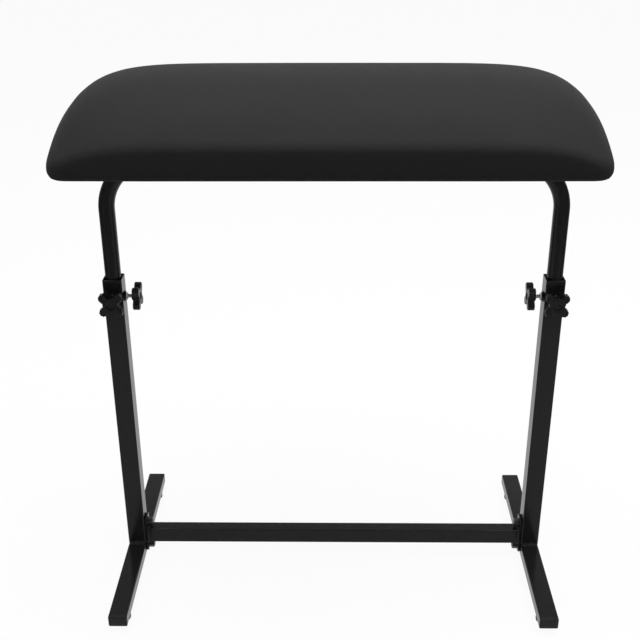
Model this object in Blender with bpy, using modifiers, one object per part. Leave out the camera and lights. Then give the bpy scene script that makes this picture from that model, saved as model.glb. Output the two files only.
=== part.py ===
"""Manicure arm rest stand: a padded cushion on an inverted-U tube that slides in two clamped uprights.

Units are metres and +Z is up. The origin is on the floor, midway between the four rubber feet.
X runs along the cushion, and the front of the stand faces -Y.
"""
import math

import bmesh
import bpy
from mathutils import Vector

# Clearances
FIT_GAP = 0.0003              # between faces that touch on the real object

# Rubber feet
RUBBER_HEIGHT = 0.0084
RUBBER_RADIUS = 0.0105
RUBBER_TOP_EDGE = 0.0012      # chamfer round the top
RUBBER_SOLE_EDGE = 0.0010     # how far the flat sole stops short of the side
RUBBER_SOLE_RISE = 0.0017     # height of the chamfer round the sole
RUBBER_STEM_RADIUS = 0.003
RUBBER_STEM_LENGTH = 0.005
RUBBER_END_DISTANCE = 0.0265  # from a foot's end to the centre of its rubber foot

# Foot tubes
FOOT_LENGTH = 0.311           # over the end caps
FOOT_WIDTH = 0.023
FOOT_HEIGHT = 0.015
FOOT_WALL = 0.0012
FOOT_CORNER = 0.0018

# Foot end caps
CAP_FLANGE = 0.0025
CAP_INSERT = 0.012

# Uprights
UPRIGHT_SPACING = 0.525       # between the centre lines of the two uprights
UPRIGHT_SIDE = 0.023
UPRIGHT_LENGTH = 0.383
UPRIGHT_WALL = 0.0012
UPRIGHT_CORNER = 0.0018
WELD_RADIUS = 0.0016
WELD_END_MARGIN = 0.001       # the bead stops this far short of the upright's side
WELD_STEPS = 12

# Crossbar and its end flanges
CROSSBAR_DEPTH = 0.017
CROSSBAR_HEIGHT = 0.021
CROSSBAR_WALL = 0.0012
CROSSBAR_CORNER = 0.0018
FLANGE_THICKNESS = 0.0025
FLANGE_WIDTH = 0.020
FLANGE_CORNER = 0.003
FLANGE_TOP_MARGIN = 0.008     # from the upper bolt's axis to the plate's top edge
FLANGE_LOW_MARGIN = 0.006     # from the lower bolt's axis to the plate's bottom edge

# Flange bolts and rivet nuts
BOLT_RADIUS = 0.003
BOLT_HEAD_FLATS = 0.010
BOLT_HEAD_HEIGHT = 0.0064
BOLT_LENGTH = 0.013
BOLT_RISE = 0.0075            # from the crossbar's top face to the upper bolt's axis
RIVET_NUT_RADIUS = 0.0045
RIVET_NUT_LENGTH = 0.011

# Clamp knobs, studs and nuts
KNOB_DROP = 0.0247            # from an upright's rim down to the clamps' axes
KNOB_LOBES = 4
KNOB_LOBE_CIRCLE = 0.0125     # radius of the circle that the lobes' centres lie on
KNOB_LOBE_RADIUS = 0.0053
KNOB_VALLEY_RADIUS = 0.0094   # from the axis to the bottom of a valley
KNOB_THICKNESS = 0.0082
KNOB_EDGE = 0.0009            # rounding of the lobes' edges
KNOB_HUB_RADIUS = 0.0055
KNOB_HUB_LENGTH = 0.0022
KNOB_DISH_RADIUS = 0.0045
KNOB_DISH_DEPTH = 0.0015
KNOB_LOBE_TILT = math.radians(45)
STUD_RADIUS = 0.0025
STUD_SHOWN = 0.0048           # bare stud between the clamp nut and the knob's hub
STUD_IN_KNOB = 0.006
STUD_TIP_GAP = 0.0009         # between the stud's tip and the tube, with the clamp eased off
CLAMP_NUT_RADIUS = 0.0045
CLAMP_NUT_HEIGHT = 0.004
CLAMP_WELD_RADIUS = 0.0068    # foot of the weld round the nut
CLAMP_WELD_HEIGHT = 0.0022

# Top frame tube
TUBE_RADIUS = 0.0095
TUBE_WALL = 0.0012
TUBE_SHOWN = 0.0848           # straight tube between the uprights' rims and the bends
TUBE_INSERTED = 0.260         # straight tube inside the uprights
TUBE_BEND_RADIUS = 0.060      # to the tube's centre line
PLUG_FLANGE = 0.002
PLUG_INSERT = 0.012

# Plates that carry the cushion
PLATE_SPACING = 0.300
PLATE_LENGTH = 0.060
PLATE_DEPTH = 0.080
PLATE_THICKNESS = 0.003
PLATE_CORNER = 0.006
PLATE_HOLE_X = 0.020          # from the plate's centre to a screw
PLATE_HOLE_Y = 0.028
SCREW_RADIUS = 0.002
SCREW_HEAD_RADIUS = 0.0045
SCREW_CROWN_RADIUS = 0.003    # flat top of the rounded head
SCREW_HEAD_HEIGHT = 0.0025
SCREW_IN_BOARD = 0.008

# Cushion
LINING_THICKNESS = 0.0008
LINING_INSET = 0.020          # from the cushion's side to the lining's edge
PAD_LENGTH = 0.581
PAD_SHIFT = -0.0045           # the cushion sits a little left of the stand's middle
PAD_DEPTH = 0.273
PAD_CORNER = 0.029            # corner radius seen from above
PAD_EDGE_HEIGHT = 0.0322      # base height of the sides
PAD_CORNER_DROP = 0.027       # how much lower the sides are at the corners
PAD_DROP_ALONG = 5.7          # how late the drop starts along the length, as a power
PAD_DROP_ACROSS = 1.5         # the same, across the depth
PAD_CROWN = 0.057             # rise of the middle above the sides
PAD_CROWN_ALONG = 9.6         # how flat the crown stays along the length, as a power
PAD_CROWN_ACROSS = 2.1        # the same, across the depth
PAD_CROWN_END = 0.92          # how full the crown is near the ends, as a power
PAD_CROWN_KEPT = 0.11         # share of the crown that is left at the ends
PAD_EDGE_ROUND = 0.009        # rounding between the top and the sides
PAD_TUCK_ROUND = 0.006        # rounding where the cover turns under
PAD_SIDE_LEAST = 0.002        # straight side left between the two roundings at a corner
COVER_THICKNESS = 0.0012
COVER_TURN_IN = 0.020         # width of the cover's hem under the board
BOARD_THICKNESS = 0.010
BOARD_INSET = 0.0130          # from the cushion's side to the board's edge

# Facets of round and soft shapes
CORNER_STEPS = 3
HOLE_STEPS = 12
TURNED_STEPS = 18
LOBE_STEPS = 5
BEND_STEPS = 9
TUBE_BEVEL_STEPS = 8
PAD_CORNER_STEPS = 4
PAD_LENGTH_STEPS = 8
PAD_DEPTH_STEPS = 6
PAD_TOP_RINGS = (0.2, 0.4, 0.6, 0.78, 0.91, 1.0)
PAD_ROUND_STEPS = 3
PAD_TUCK_STEPS = 2

# Heights, worked out upwards from the floor
FOOT_BOTTOM = RUBBER_HEIGHT + FIT_GAP
FOOT_TOP = FOOT_BOTTOM + FOOT_HEIGHT
FOOT_MIDDLE = FOOT_BOTTOM + FOOT_HEIGHT / 2
UPRIGHT_BOTTOM = FOOT_TOP + FIT_GAP
RIM = UPRIGHT_BOTTOM + UPRIGHT_LENGTH
CROSSBAR_TOP = FOOT_TOP + CROSSBAR_HEIGHT
UPPER_BOLT = CROSSBAR_TOP + BOLT_RISE
LOWER_BOLT = FOOT_MIDDLE
CLAMP_LEVEL = RIM - KNOB_DROP
BEND_LEVEL = RIM + TUBE_SHOWN
RUN_LEVEL = BEND_LEVEL + TUBE_BEND_RADIUS
TUBE_END = RIM - TUBE_INSERTED
PLATE_BOTTOM = RUN_LEVEL + TUBE_RADIUS + FIT_GAP
LINING_BOTTOM = PLATE_BOTTOM + PLATE_THICKNESS + FIT_GAP
COVER_BOTTOM = LINING_BOTTOM + LINING_THICKNESS + FIT_GAP
BOARD_BOTTOM = COVER_BOTTOM + COVER_THICKNESS + FIT_GAP

# Places along X
SIDES = (("left", -1), ("right", 1))
ENDS = (("front", -1), ("rear", 1))
UPRIGHT_X = UPRIGHT_SPACING / 2
INNER_FACE_X = UPRIGHT_X - UPRIGHT_SIDE / 2
FLANGE_FACE_X = INNER_FACE_X - FIT_GAP - FLANGE_THICKNESS

# Turns of an object whose own +Z points along an axis of the stand
ALONG_FRONT = (math.pi / 2, 0, 0)
ALONG_LEFT = (math.pi / 2, 0, -math.pi / 2)
ALONG_RIGHT = (math.pi / 2, 0, math.pi / 2)
INWARD = {"left": ALONG_RIGHT, "right": ALONG_LEFT}


def start_scene():
    """Empty the scene and make the two collections."""
    for old in list(bpy.data.objects):
        bpy.data.objects.remove(old, do_unlink=True)
    parts = bpy.data.collections.new("manicure_arm_rest_stand")
    cutters = bpy.data.collections.new("cutters")
    for collection in (parts, cutters):
        bpy.context.scene.collection.children.link(collection)
    return parts, cutters


PARTS, CUTTERS = start_scene()


def material(name, colour, roughness, metallic=0.0):
    finish = bpy.data.materials.new(name)
    finish.use_nodes = True
    shader = finish.node_tree.nodes["Principled BSDF"]
    shader.inputs["Base Color"].default_value = (*colour, 1.0)
    shader.inputs["Roughness"].default_value = roughness
    shader.inputs["Metallic"].default_value = metallic
    return finish


POWDER_COAT = material("powder_coat", (0.014, 0.014, 0.015), 0.42)
BLACK_STEEL = material("black_steel", (0.012, 0.012, 0.012), 0.40)
BLACK_PLASTIC = material("black_plastic", (0.010, 0.010, 0.010), 0.38)
RUBBER = material("rubber", (0.008, 0.008, 0.008), 0.75)
LEATHER = material("leather", (0.022, 0.022, 0.022), 0.50)
FOAM = material("foam", (0.72, 0.68, 0.52), 0.95)
PLYWOOD = material("plywood", (0.55, 0.40, 0.24), 0.70)
DUST_CLOTH = material("dust_cloth", (0.020, 0.020, 0.020), 0.90)
ZINC = material("zinc", (0.60, 0.60, 0.58), 0.35, 1.0)


def place(name, mesh, finish, location=(0, 0, 0), turn=(0, 0, 0), parent=None, smooth_angle=35):
    """Add a sub-part from a mesh and shade its round faces smooth."""
    part = bpy.data.objects.new(name, mesh)
    part.location = location
    part.rotation_euler = turn
    part.parent = parent
    mesh.materials.clear()
    mesh.materials.append(finish)
    mesh.shade_smooth()
    mesh.set_sharp_from_angle(angle=math.radians(smooth_angle))
    PARTS.objects.link(part)
    return part


def joint_empty(name, location, turn):
    """Add an empty on a clamp's axis, with its +Z pointing away from the upright."""
    empty = bpy.data.objects.new(name, None)
    empty.location = location
    empty.rotation_euler = turn
    PARTS.objects.link(empty)
    return empty


def mesh_from_bmesh(name, bm):
    bmesh.ops.recalc_face_normals(bm, faces=bm.faces)
    mesh = bpy.data.meshes.new(name)
    bm.to_mesh(mesh)
    bm.free()
    return mesh


def mesh_from_curve(name, curve):
    """Turn a curve into a closed mesh with its caps welded on."""
    holder = bpy.data.objects.new(name, curve)
    PARTS.objects.link(holder)
    evaluated = holder.evaluated_get(bpy.context.evaluated_depsgraph_get())
    raw = bpy.data.meshes.new_from_object(evaluated)
    bpy.data.objects.remove(holder, do_unlink=True)
    bm = bmesh.new()
    bm.from_mesh(raw)
    bpy.data.meshes.remove(raw)
    bmesh.ops.remove_doubles(bm, verts=bm.verts, dist=1e-6)
    return mesh_from_bmesh(name, bm)


def arc(centre, radius, start, end, steps):
    """Points on an arc, with both of its ends."""
    angles = [start + (end - start) * step / steps for step in range(steps + 1)]
    return [(centre[0] + radius * math.cos(a), centre[1] + radius * math.sin(a)) for a in angles]


def between(first, last, steps):
    """Points that divide a straight run, without its ends."""
    shares = [step / steps for step in range(1, steps)]
    return [(first[0] + (last[0] - first[0]) * s, first[1] + (last[1] - first[1]) * s) for s in shares]


def rounded_rectangle(size_x, size_y, radius, corner_steps=CORNER_STEPS, steps_x=1, steps_y=1):
    """Outline centred on the origin, anticlockwise from the right-hand side's upper corner."""
    reach_x = size_x / 2 - radius
    reach_y = size_y / 2 - radius
    corners = []
    for quarter, (sign_x, sign_y) in enumerate(((1, 1), (-1, 1), (-1, -1), (1, -1))):
        start = quarter * math.pi / 2
        centre = (sign_x * reach_x, sign_y * reach_y)
        corners.append(arc(centre, radius, start, start + math.pi / 2, corner_steps))
    outline = []
    for quarter, corner in enumerate(corners):
        following = corners[(quarter + 1) % 4]
        steps = steps_x if quarter % 2 == 0 else steps_y
        outline += corner + between(corner[-1], following[0], steps)
    return outline


def circle(centre, radius, steps=HOLE_STEPS):
    return arc(centre, radius, 0, 2 * math.pi, steps)[:-1]


def extruded(name, outlines, depth, edge=0.0):
    """Flat outlines, the first solid and the rest holes, drawn out evenly to both sides of Z = 0."""
    curve = bpy.data.curves.new(name, "CURVE")
    curve.dimensions = "2D"
    curve.fill_mode = "BOTH"
    curve.extrude = depth / 2 - edge
    curve.bevel_depth = edge
    curve.bevel_resolution = 1
    curve.offset = -edge
    for outline in outlines:
        spline = curve.splines.new("POLY")
        spline.points.add(len(outline) - 1)
        for point, (x, y) in zip(spline.points, outline):
            point.co = (x, y, 0, 1)
        spline.use_cyclic_u = True
    return mesh_from_curve(name, curve)


def tube_section(size_x, size_y, wall, corner):
    """Outer and inner outline of a rectangular tube."""
    inner_corner = max(corner - wall, wall / 4)
    return [rounded_rectangle(size_x, size_y, corner),
            rounded_rectangle(size_x - 2 * wall, size_y - 2 * wall, inner_corner)]


def rod(name, path, radius, bevel_steps=TUBE_BEVEL_STEPS):
    """Solid round rod along a path of points."""
    curve = bpy.data.curves.new(name, "CURVE")
    curve.dimensions = "3D"
    curve.bevel_depth = radius
    curve.bevel_resolution = bevel_steps
    curve.use_fill_caps = True
    spline = curve.splines.new("POLY")
    spline.points.add(len(path) - 1)
    for point, (x, y, z) in zip(spline.points, path):
        point.co = (x, y, z, 1)
    return mesh_from_curve(name, curve)


def cylinder(name, radius, bottom, top, steps=HOLE_STEPS):
    """Upright cylinder between two heights on its own axis."""
    bm = bmesh.new()
    bmesh.ops.create_cone(bm, cap_ends=True, segments=steps, radius1=radius, radius2=radius,
                          depth=top - bottom)
    bmesh.ops.translate(bm, verts=bm.verts, vec=(0, 0, (top + bottom) / 2))
    return mesh_from_bmesh(name, bm)


def hexagon(flats):
    """Outline of a hexagon, given its width across flats."""
    return circle((0, 0), flats / math.sqrt(3), 6)


def turned_profile(name, profile):
    """Mesh of a profile of (radius, height) points, which runs down the outer side."""
    mesh = bpy.data.meshes.new(name)
    points = [(radius, 0, height) for radius, height in profile]
    closed = profile[0][0] > 0
    edges = [(i, i + 1) for i in range(len(points) - 1)]
    if closed:
        edges.append((len(points) - 1, 0))
    mesh.from_pydata(points, edges, [])
    return mesh


def turn_round(part, steps=TURNED_STEPS):
    """Spin an object's profile about its own Z axis."""
    screw = part.modifiers.new("turned", "SCREW")
    screw.axis = "Z"
    screw.angle = 2 * math.pi
    screw.steps = steps
    screw.render_steps = steps
    screw.use_merge_vertices = True
    screw.merge_threshold = 1e-6
    screw.use_smooth_shade = True
    return part


def combine(part, operation, tool_mesh, location=(0, 0, 0), turn=(0, 0, 0)):
    """Cut a tool mesh out of a part, or join it on. The tool is placed in the part's own frame."""
    tool = bpy.data.objects.new(part.name + "_tool", tool_mesh)
    tool.location = location
    tool.rotation_euler = turn
    tool.parent = part
    tool.hide_render = True
    tool.display_type = "WIRE"
    CUTTERS.objects.link(tool)
    boolean = part.modifiers.new(operation.lower(), "BOOLEAN")
    boolean.operation = operation
    boolean.solver = "EXACT"
    boolean.object = tool
    return part


# Base

def foot_tube(side, sign):
    """Foot tube with holes for the rubber feet and for the lower rivet nut."""
    length = FOOT_LENGTH - 2 * (CAP_FLANGE + FIT_GAP)
    section = tube_section(FOOT_WIDTH, FOOT_HEIGHT, FOOT_WALL, FOOT_CORNER)
    mesh = extruded(side + "_foot_tube", section, length)
    foot = place(side + "_foot_tube", mesh, POWDER_COAT, (sign * UPRIGHT_X, 0, FOOT_MIDDLE), ALONG_FRONT)
    stem_hole = cylinder("stem_hole", RUBBER_STEM_RADIUS + FIT_GAP, -2 * FOOT_WALL, 2 * FOOT_WALL)
    for end, end_sign in ENDS:
        along = -end_sign * (FOOT_LENGTH / 2 - RUBBER_END_DISTANCE)
        combine(foot, "DIFFERENCE", stem_hole, (0, -FOOT_HEIGHT / 2, along), (math.pi / 2, 0, 0))
    nut_hole = cylinder("nut_hole", RIVET_NUT_RADIUS + FIT_GAP, -2 * FOOT_WALL, 2 * FOOT_WALL)
    combine(foot, "DIFFERENCE", nut_hole, (-sign * FOOT_WIDTH / 2, 0, 0), (0, math.pi / 2, 0))


def foot_caps(side, sign):
    """Plastic plugs in both ends of a foot tube."""
    inset = 2 * (FOOT_WALL + FIT_GAP)
    insert_corner = FOOT_CORNER / 2
    for end, end_sign in ENDS:
        name = side + "_" + end + "_foot_cap"
        flange = extruded(name, [rounded_rectangle(FOOT_WIDTH, FOOT_HEIGHT, FOOT_CORNER)], CAP_FLANGE)
        location = (sign * UPRIGHT_X, end_sign * (FOOT_LENGTH - CAP_FLANGE) / 2, FOOT_MIDDLE)
        cap = place(name, flange, BLACK_PLASTIC, location, ALONG_FRONT)
        insert_outline = rounded_rectangle(FOOT_WIDTH - inset, FOOT_HEIGHT - inset, insert_corner)
        insert = extruded(name + "_insert", [insert_outline], CAP_INSERT + CAP_FLANGE / 2)
        reach = end_sign * (CAP_INSERT + CAP_FLANGE / 2) / 2
        combine(cap, "UNION", insert, (0, 0, reach))


def rubber_feet(side, sign):
    """Round rubber feet with stems that push into the foot tube."""
    stem_top = RUBBER_HEIGHT + RUBBER_STEM_LENGTH
    profile = [(0, stem_top),
               (RUBBER_STEM_RADIUS, stem_top),
               (RUBBER_STEM_RADIUS, RUBBER_HEIGHT),
               (RUBBER_RADIUS - RUBBER_TOP_EDGE, RUBBER_HEIGHT),
               (RUBBER_RADIUS, RUBBER_HEIGHT - RUBBER_TOP_EDGE),
               (RUBBER_RADIUS, RUBBER_SOLE_RISE),
               (RUBBER_RADIUS - RUBBER_SOLE_EDGE, 0),
               (0, 0)]
    for end, end_sign in ENDS:
        name = side + "_" + end + "_rubber_foot"
        along = end_sign * (FOOT_LENGTH / 2 - RUBBER_END_DISTANCE)
        turn_round(place(name, turned_profile(name, profile), RUBBER, (sign * UPRIGHT_X, along, 0)))


def upright(side, sign):
    """Square upright, open at the top, with holes for two studs and the upper rivet nut."""
    section = tube_section(UPRIGHT_SIDE, UPRIGHT_SIDE, UPRIGHT_WALL, UPRIGHT_CORNER)
    mesh = extruded(side + "_upright", section, UPRIGHT_LENGTH)
    middle = UPRIGHT_BOTTOM + UPRIGHT_LENGTH / 2
    post = place(side + "_upright", mesh, POWDER_COAT, (sign * UPRIGHT_X, 0, middle))
    stud_hole = cylinder("stud_hole", STUD_RADIUS + FIT_GAP, -2 * UPRIGHT_WALL, 2 * UPRIGHT_WALL)
    combine(post, "DIFFERENCE", stud_hole, (0, -UPRIGHT_SIDE / 2, CLAMP_LEVEL - middle), ALONG_FRONT)
    inner = -sign * UPRIGHT_SIDE / 2
    combine(post, "DIFFERENCE", stud_hole, (inner, 0, CLAMP_LEVEL - middle), ALONG_RIGHT)
    nut_hole = cylinder("nut_hole", RIVET_NUT_RADIUS + FIT_GAP, -2 * UPRIGHT_WALL, 2 * UPRIGHT_WALL)
    combine(post, "DIFFERENCE", nut_hole, (inner, 0, UPPER_BOLT - middle), ALONG_RIGHT)


def upright_welds(side, sign):
    """Weld beads on the foot, along the upright's front and rear faces."""
    half = UPRIGHT_SIDE / 2 - WELD_END_MARGIN
    for end, end_sign in ENDS:
        name = side + "_upright_" + end + "_weld"
        across = end_sign * (UPRIGHT_SIDE / 2 + FIT_GAP + WELD_RADIUS)
        location = (sign * UPRIGHT_X, across, FOOT_TOP + FIT_GAP + WELD_RADIUS)
        mesh = cylinder(name, WELD_RADIUS, -half, half, WELD_STEPS)
        bead = place(name, mesh, POWDER_COAT, location, ALONG_RIGHT)
        bevel = bead.modifiers.new("rounded_ends", "BEVEL")
        bevel.width = WELD_RADIUS / 2
        bevel.segments = 2


def crossbar():
    """Rectangular tube between the two end flanges."""
    length = 2 * (FLANGE_FACE_X - FIT_GAP)
    section = tube_section(CROSSBAR_DEPTH, CROSSBAR_HEIGHT, CROSSBAR_WALL, CROSSBAR_CORNER)
    mesh = extruded("crossbar", section, length)
    place("crossbar", mesh, POWDER_COAT, (0, 0, FOOT_TOP + CROSSBAR_HEIGHT / 2), ALONG_RIGHT)


def crossbar_flange(side, sign):
    """End plate of the crossbar, bolted to the upright above and to the foot below."""
    top = UPPER_BOLT + FLANGE_TOP_MARGIN
    bottom = LOWER_BOLT - FLANGE_LOW_MARGIN
    middle = (top + bottom) / 2
    holes = [circle((0, level - middle), BOLT_RADIUS + FIT_GAP) for level in (LOWER_BOLT, UPPER_BOLT)]
    outline = rounded_rectangle(FLANGE_WIDTH, top - bottom, FLANGE_CORNER)
    mesh = extruded(side + "_crossbar_flange", [outline] + holes, FLANGE_THICKNESS)
    centre = sign * (FLANGE_FACE_X + FLANGE_THICKNESS / 2)
    place(side + "_crossbar_flange", mesh, POWDER_COAT, (centre, 0, middle), ALONG_RIGHT)


def flange_bolts(side, sign):
    """Hexagon bolts through the flange, and the rivet nuts that take them."""
    for level_name, level in (("upper", UPPER_BOLT), ("lower", LOWER_BOLT)):
        face = (sign * FLANGE_FACE_X, 0, level)
        seat = joint_empty(side + "_" + level_name + "_bolt_axis", face, INWARD[side])
        name = side + "_" + level_name + "_flange_bolt"
        head = extruded(name, [hexagon(BOLT_HEAD_FLATS)], BOLT_HEAD_HEIGHT)
        head_middle = FIT_GAP + BOLT_HEAD_HEIGHT / 2
        bolt = place(name, head, BLACK_STEEL, (0, 0, head_middle), parent=seat)
        shank = cylinder(name + "_shank", BOLT_RADIUS, -BOLT_LENGTH - head_middle, 0)
        combine(bolt, "UNION", shank)
        nut_name = side + "_" + level_name + "_rivet_nut"
        bore = BOLT_RADIUS + FIT_GAP
        profile = [(bore, 0), (RIVET_NUT_RADIUS, 0),
                   (RIVET_NUT_RADIUS, -RIVET_NUT_LENGTH), (bore, -RIVET_NUT_LENGTH)]
        nut_face = -(FLANGE_THICKNESS + 2 * FIT_GAP)
        nut = place(nut_name, turned_profile(nut_name, profile), ZINC, (0, 0, nut_face), parent=seat)
        turn_round(nut, HOLE_STEPS)


# Height clamps

def knob_outline():
    """Lobes and valleys joined by tangent arcs."""
    spread = math.pi / KNOB_LOBES
    step_in = KNOB_LOBE_RADIUS - KNOB_VALLEY_RADIUS
    lean = 2 * (KNOB_LOBE_CIRCLE * math.cos(spread) + step_in)
    valley_circle = (KNOB_LOBE_CIRCLE ** 2 - step_in ** 2) / lean
    valley_round = valley_circle - KNOB_VALLEY_RADIUS
    rise = valley_circle * math.sin(spread)
    run = valley_circle * math.cos(spread) - KNOB_LOBE_CIRCLE
    tangent = math.atan2(rise, run)
    outline = []
    for lobe in range(KNOB_LOBES):
        facing = KNOB_LOBE_TILT + 2 * spread * lobe
        centre = (KNOB_LOBE_CIRCLE * math.cos(facing), KNOB_LOBE_CIRCLE * math.sin(facing))
        outline += arc(centre, KNOB_LOBE_RADIUS, facing - tangent, facing + tangent, LOBE_STEPS)
        dip = facing + spread
        centre = (valley_circle * math.cos(dip), valley_circle * math.sin(dip))
        start = facing + tangent + math.pi
        end = dip + spread - tangent + math.pi
        outline += arc(centre, valley_round, start, end, LOBE_STEPS)[1:-1]
    return outline


def clamp(side, position, face, turn):
    """Clamp nut on an upright's face, with the stud and the knob on its axis."""
    axis = joint_empty(side + "_" + position + "_clamp_axis", face, turn)
    nut_name = side + "_" + position + "_clamp_nut"
    bore = STUD_RADIUS + FIT_GAP
    nut_profile = [(bore, CLAMP_NUT_HEIGHT), (CLAMP_NUT_RADIUS, CLAMP_NUT_HEIGHT),
                   (CLAMP_NUT_RADIUS, CLAMP_WELD_HEIGHT), (CLAMP_WELD_RADIUS, 0), (bore, 0)]
    nut = place(nut_name, turned_profile(nut_name, nut_profile), ZINC, (0, 0, FIT_GAP), parent=axis)
    turn_round(nut, HOLE_STEPS)

    hub_end = FIT_GAP + CLAMP_NUT_HEIGHT + STUD_SHOWN
    tip = -(UPRIGHT_SIDE / 2 - TUBE_RADIUS - STUD_TIP_GAP)
    stud_name = side + "_" + position + "_clamp_stud"
    head = hub_end + STUD_IN_KNOB
    lead = STUD_RADIUS / 4
    stud_profile = [(0, head), (STUD_RADIUS, head),
                    (STUD_RADIUS, tip + lead), (STUD_RADIUS - lead, tip), (0, tip)]
    turn_round(place(stud_name, turned_profile(stud_name, stud_profile), ZINC, parent=axis), HOLE_STEPS)

    knob_name = side + "_" + position + "_clamp_knob"
    rim_middle = hub_end + KNOB_HUB_LENGTH + KNOB_THICKNESS / 2
    star = extruded(knob_name, [knob_outline()], KNOB_THICKNESS, KNOB_EDGE)
    knob = place(knob_name, star, BLACK_PLASTIC, (0, 0, rim_middle), parent=axis)
    hub_start = hub_end - rim_middle
    hub = cylinder(knob_name + "_hub", KNOB_HUB_RADIUS, hub_start, 0, TURNED_STEPS)
    combine(knob, "UNION", hub)
    bore_end = hub_start + STUD_IN_KNOB + FIT_GAP
    stud_hole = cylinder(knob_name + "_stud_hole", bore, hub_start - KNOB_EDGE, bore_end)
    combine(knob, "DIFFERENCE", stud_hole)
    dish_bottom = KNOB_THICKNESS / 2 - KNOB_DISH_DEPTH
    dish_top = KNOB_THICKNESS / 2 + KNOB_EDGE
    dish = cylinder(knob_name + "_dish", KNOB_DISH_RADIUS, dish_bottom, dish_top, TURNED_STEPS)
    combine(knob, "DIFFERENCE", dish)


# Upper frame

def tube_path(overrun=0.0):
    """Centre line of the inverted U, from the left leg's lower end to the right leg's."""
    bend_x = UPRIGHT_X - TUBE_BEND_RADIUS
    path = [(-UPRIGHT_X, TUBE_END - overrun)]
    path += arc((-bend_x, BEND_LEVEL), TUBE_BEND_RADIUS, math.pi, math.pi / 2, BEND_STEPS)
    path += arc((bend_x, BEND_LEVEL), TUBE_BEND_RADIUS, math.pi / 2, 0, BEND_STEPS)
    path.append((UPRIGHT_X, TUBE_END - overrun))
    return [(x, 0, z) for x, z in path]


def top_frame_tube():
    """Round tube bent to an inverted U, hollow and open at its lower ends."""
    tube = place("top_frame_tube", rod("top_frame_tube", tube_path(), TUBE_RADIUS), POWDER_COAT)
    bore = rod("top_frame_bore", tube_path(PLUG_FLANGE), TUBE_RADIUS - TUBE_WALL, TUBE_BEVEL_STEPS // 2)
    combine(tube, "DIFFERENCE", bore)


def tube_plug(side, sign):
    """Plastic plug in the lower end of a leg."""
    insert = TUBE_RADIUS - TUBE_WALL - FIT_GAP
    profile = [(0, PLUG_INSERT), (insert, PLUG_INSERT), (insert, 0), (TUBE_RADIUS, 0),
               (TUBE_RADIUS, -PLUG_FLANGE), (0, -PLUG_FLANGE)]
    name = side + "_tube_plug"
    location = (sign * UPRIGHT_X, 0, TUBE_END - FIT_GAP)
    turn_round(place(name, turned_profile(name, profile), BLACK_PLASTIC, location))


def plate_holes(sign=0):
    """Screw places on one plate, from its own centre or, with a sign, from the stand's."""
    middle = sign * PLATE_SPACING / 2
    return [(middle + x * PLATE_HOLE_X, y * PLATE_HOLE_Y) for x in (-1, 1) for y in (-1, 1)]


def pad_plate(side, sign):
    """Flat plate welded on the tube's run, with four screw holes."""
    outline = rounded_rectangle(PLATE_LENGTH, PLATE_DEPTH, PLATE_CORNER)
    holes = [circle(centre, SCREW_RADIUS + FIT_GAP) for centre in plate_holes()]
    mesh = extruded(side + "_pad_plate", [outline] + holes, PLATE_THICKNESS)
    location = (sign * PLATE_SPACING / 2, 0, PLATE_BOTTOM + PLATE_THICKNESS / 2)
    place(side + "_pad_plate", mesh, POWDER_COAT, location)


def pad_screws(side, sign):
    """Pan-head screws through a plate into the board."""
    tip = BOARD_BOTTOM + SCREW_IN_BOARD - PLATE_BOTTOM
    point = SCREW_RADIUS * 2
    head_top = -FIT_GAP - SCREW_HEAD_HEIGHT
    profile = [(0, tip), (SCREW_RADIUS, tip - point),
               (SCREW_RADIUS, -FIT_GAP), (SCREW_HEAD_RADIUS, -FIT_GAP),
               (SCREW_HEAD_RADIUS, head_top + SCREW_HEAD_HEIGHT / 2),
               (SCREW_CROWN_RADIUS, head_top), (0, head_top)]
    for number, (x, y) in enumerate(plate_holes(sign), start=1):
        name = side + "_pad_screw_" + str(number)
        turn_round(place(name, turned_profile(name, profile), ZINC, (x, y, PLATE_BOTTOM)), HOLE_STEPS)


# Cushion

def pad_outline(inset, steps_x=PAD_LENGTH_STEPS, steps_y=PAD_DEPTH_STEPS):
    """Outline of the cushion from above, drawn in evenly by an inset."""
    length = PAD_LENGTH - 2 * inset
    depth = PAD_DEPTH - 2 * inset
    return rounded_rectangle(length, depth, PAD_CORNER - inset, PAD_CORNER_STEPS, steps_x, steps_y)


def flat_outline(inset):
    """The same outline for a flat piece, with no points along its straight sides."""
    return pad_outline(inset, 1, 1)


def pad_height(x, y):
    """Height of the cushion's top above its underside."""
    along = min(abs(x) / (PAD_LENGTH / 2), 1)
    across = min(abs(y) / (PAD_DEPTH / 2), 1)
    drop = PAD_CORNER_DROP * along ** PAD_DROP_ALONG * across ** PAD_DROP_ACROSS
    ends = (1 - (1 - PAD_CROWN_KEPT) * along ** PAD_CROWN_ALONG) ** PAD_CROWN_END
    return PAD_EDGE_HEIGHT - drop + PAD_CROWN * ends * (1 - across ** PAD_CROWN_ACROSS)


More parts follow.
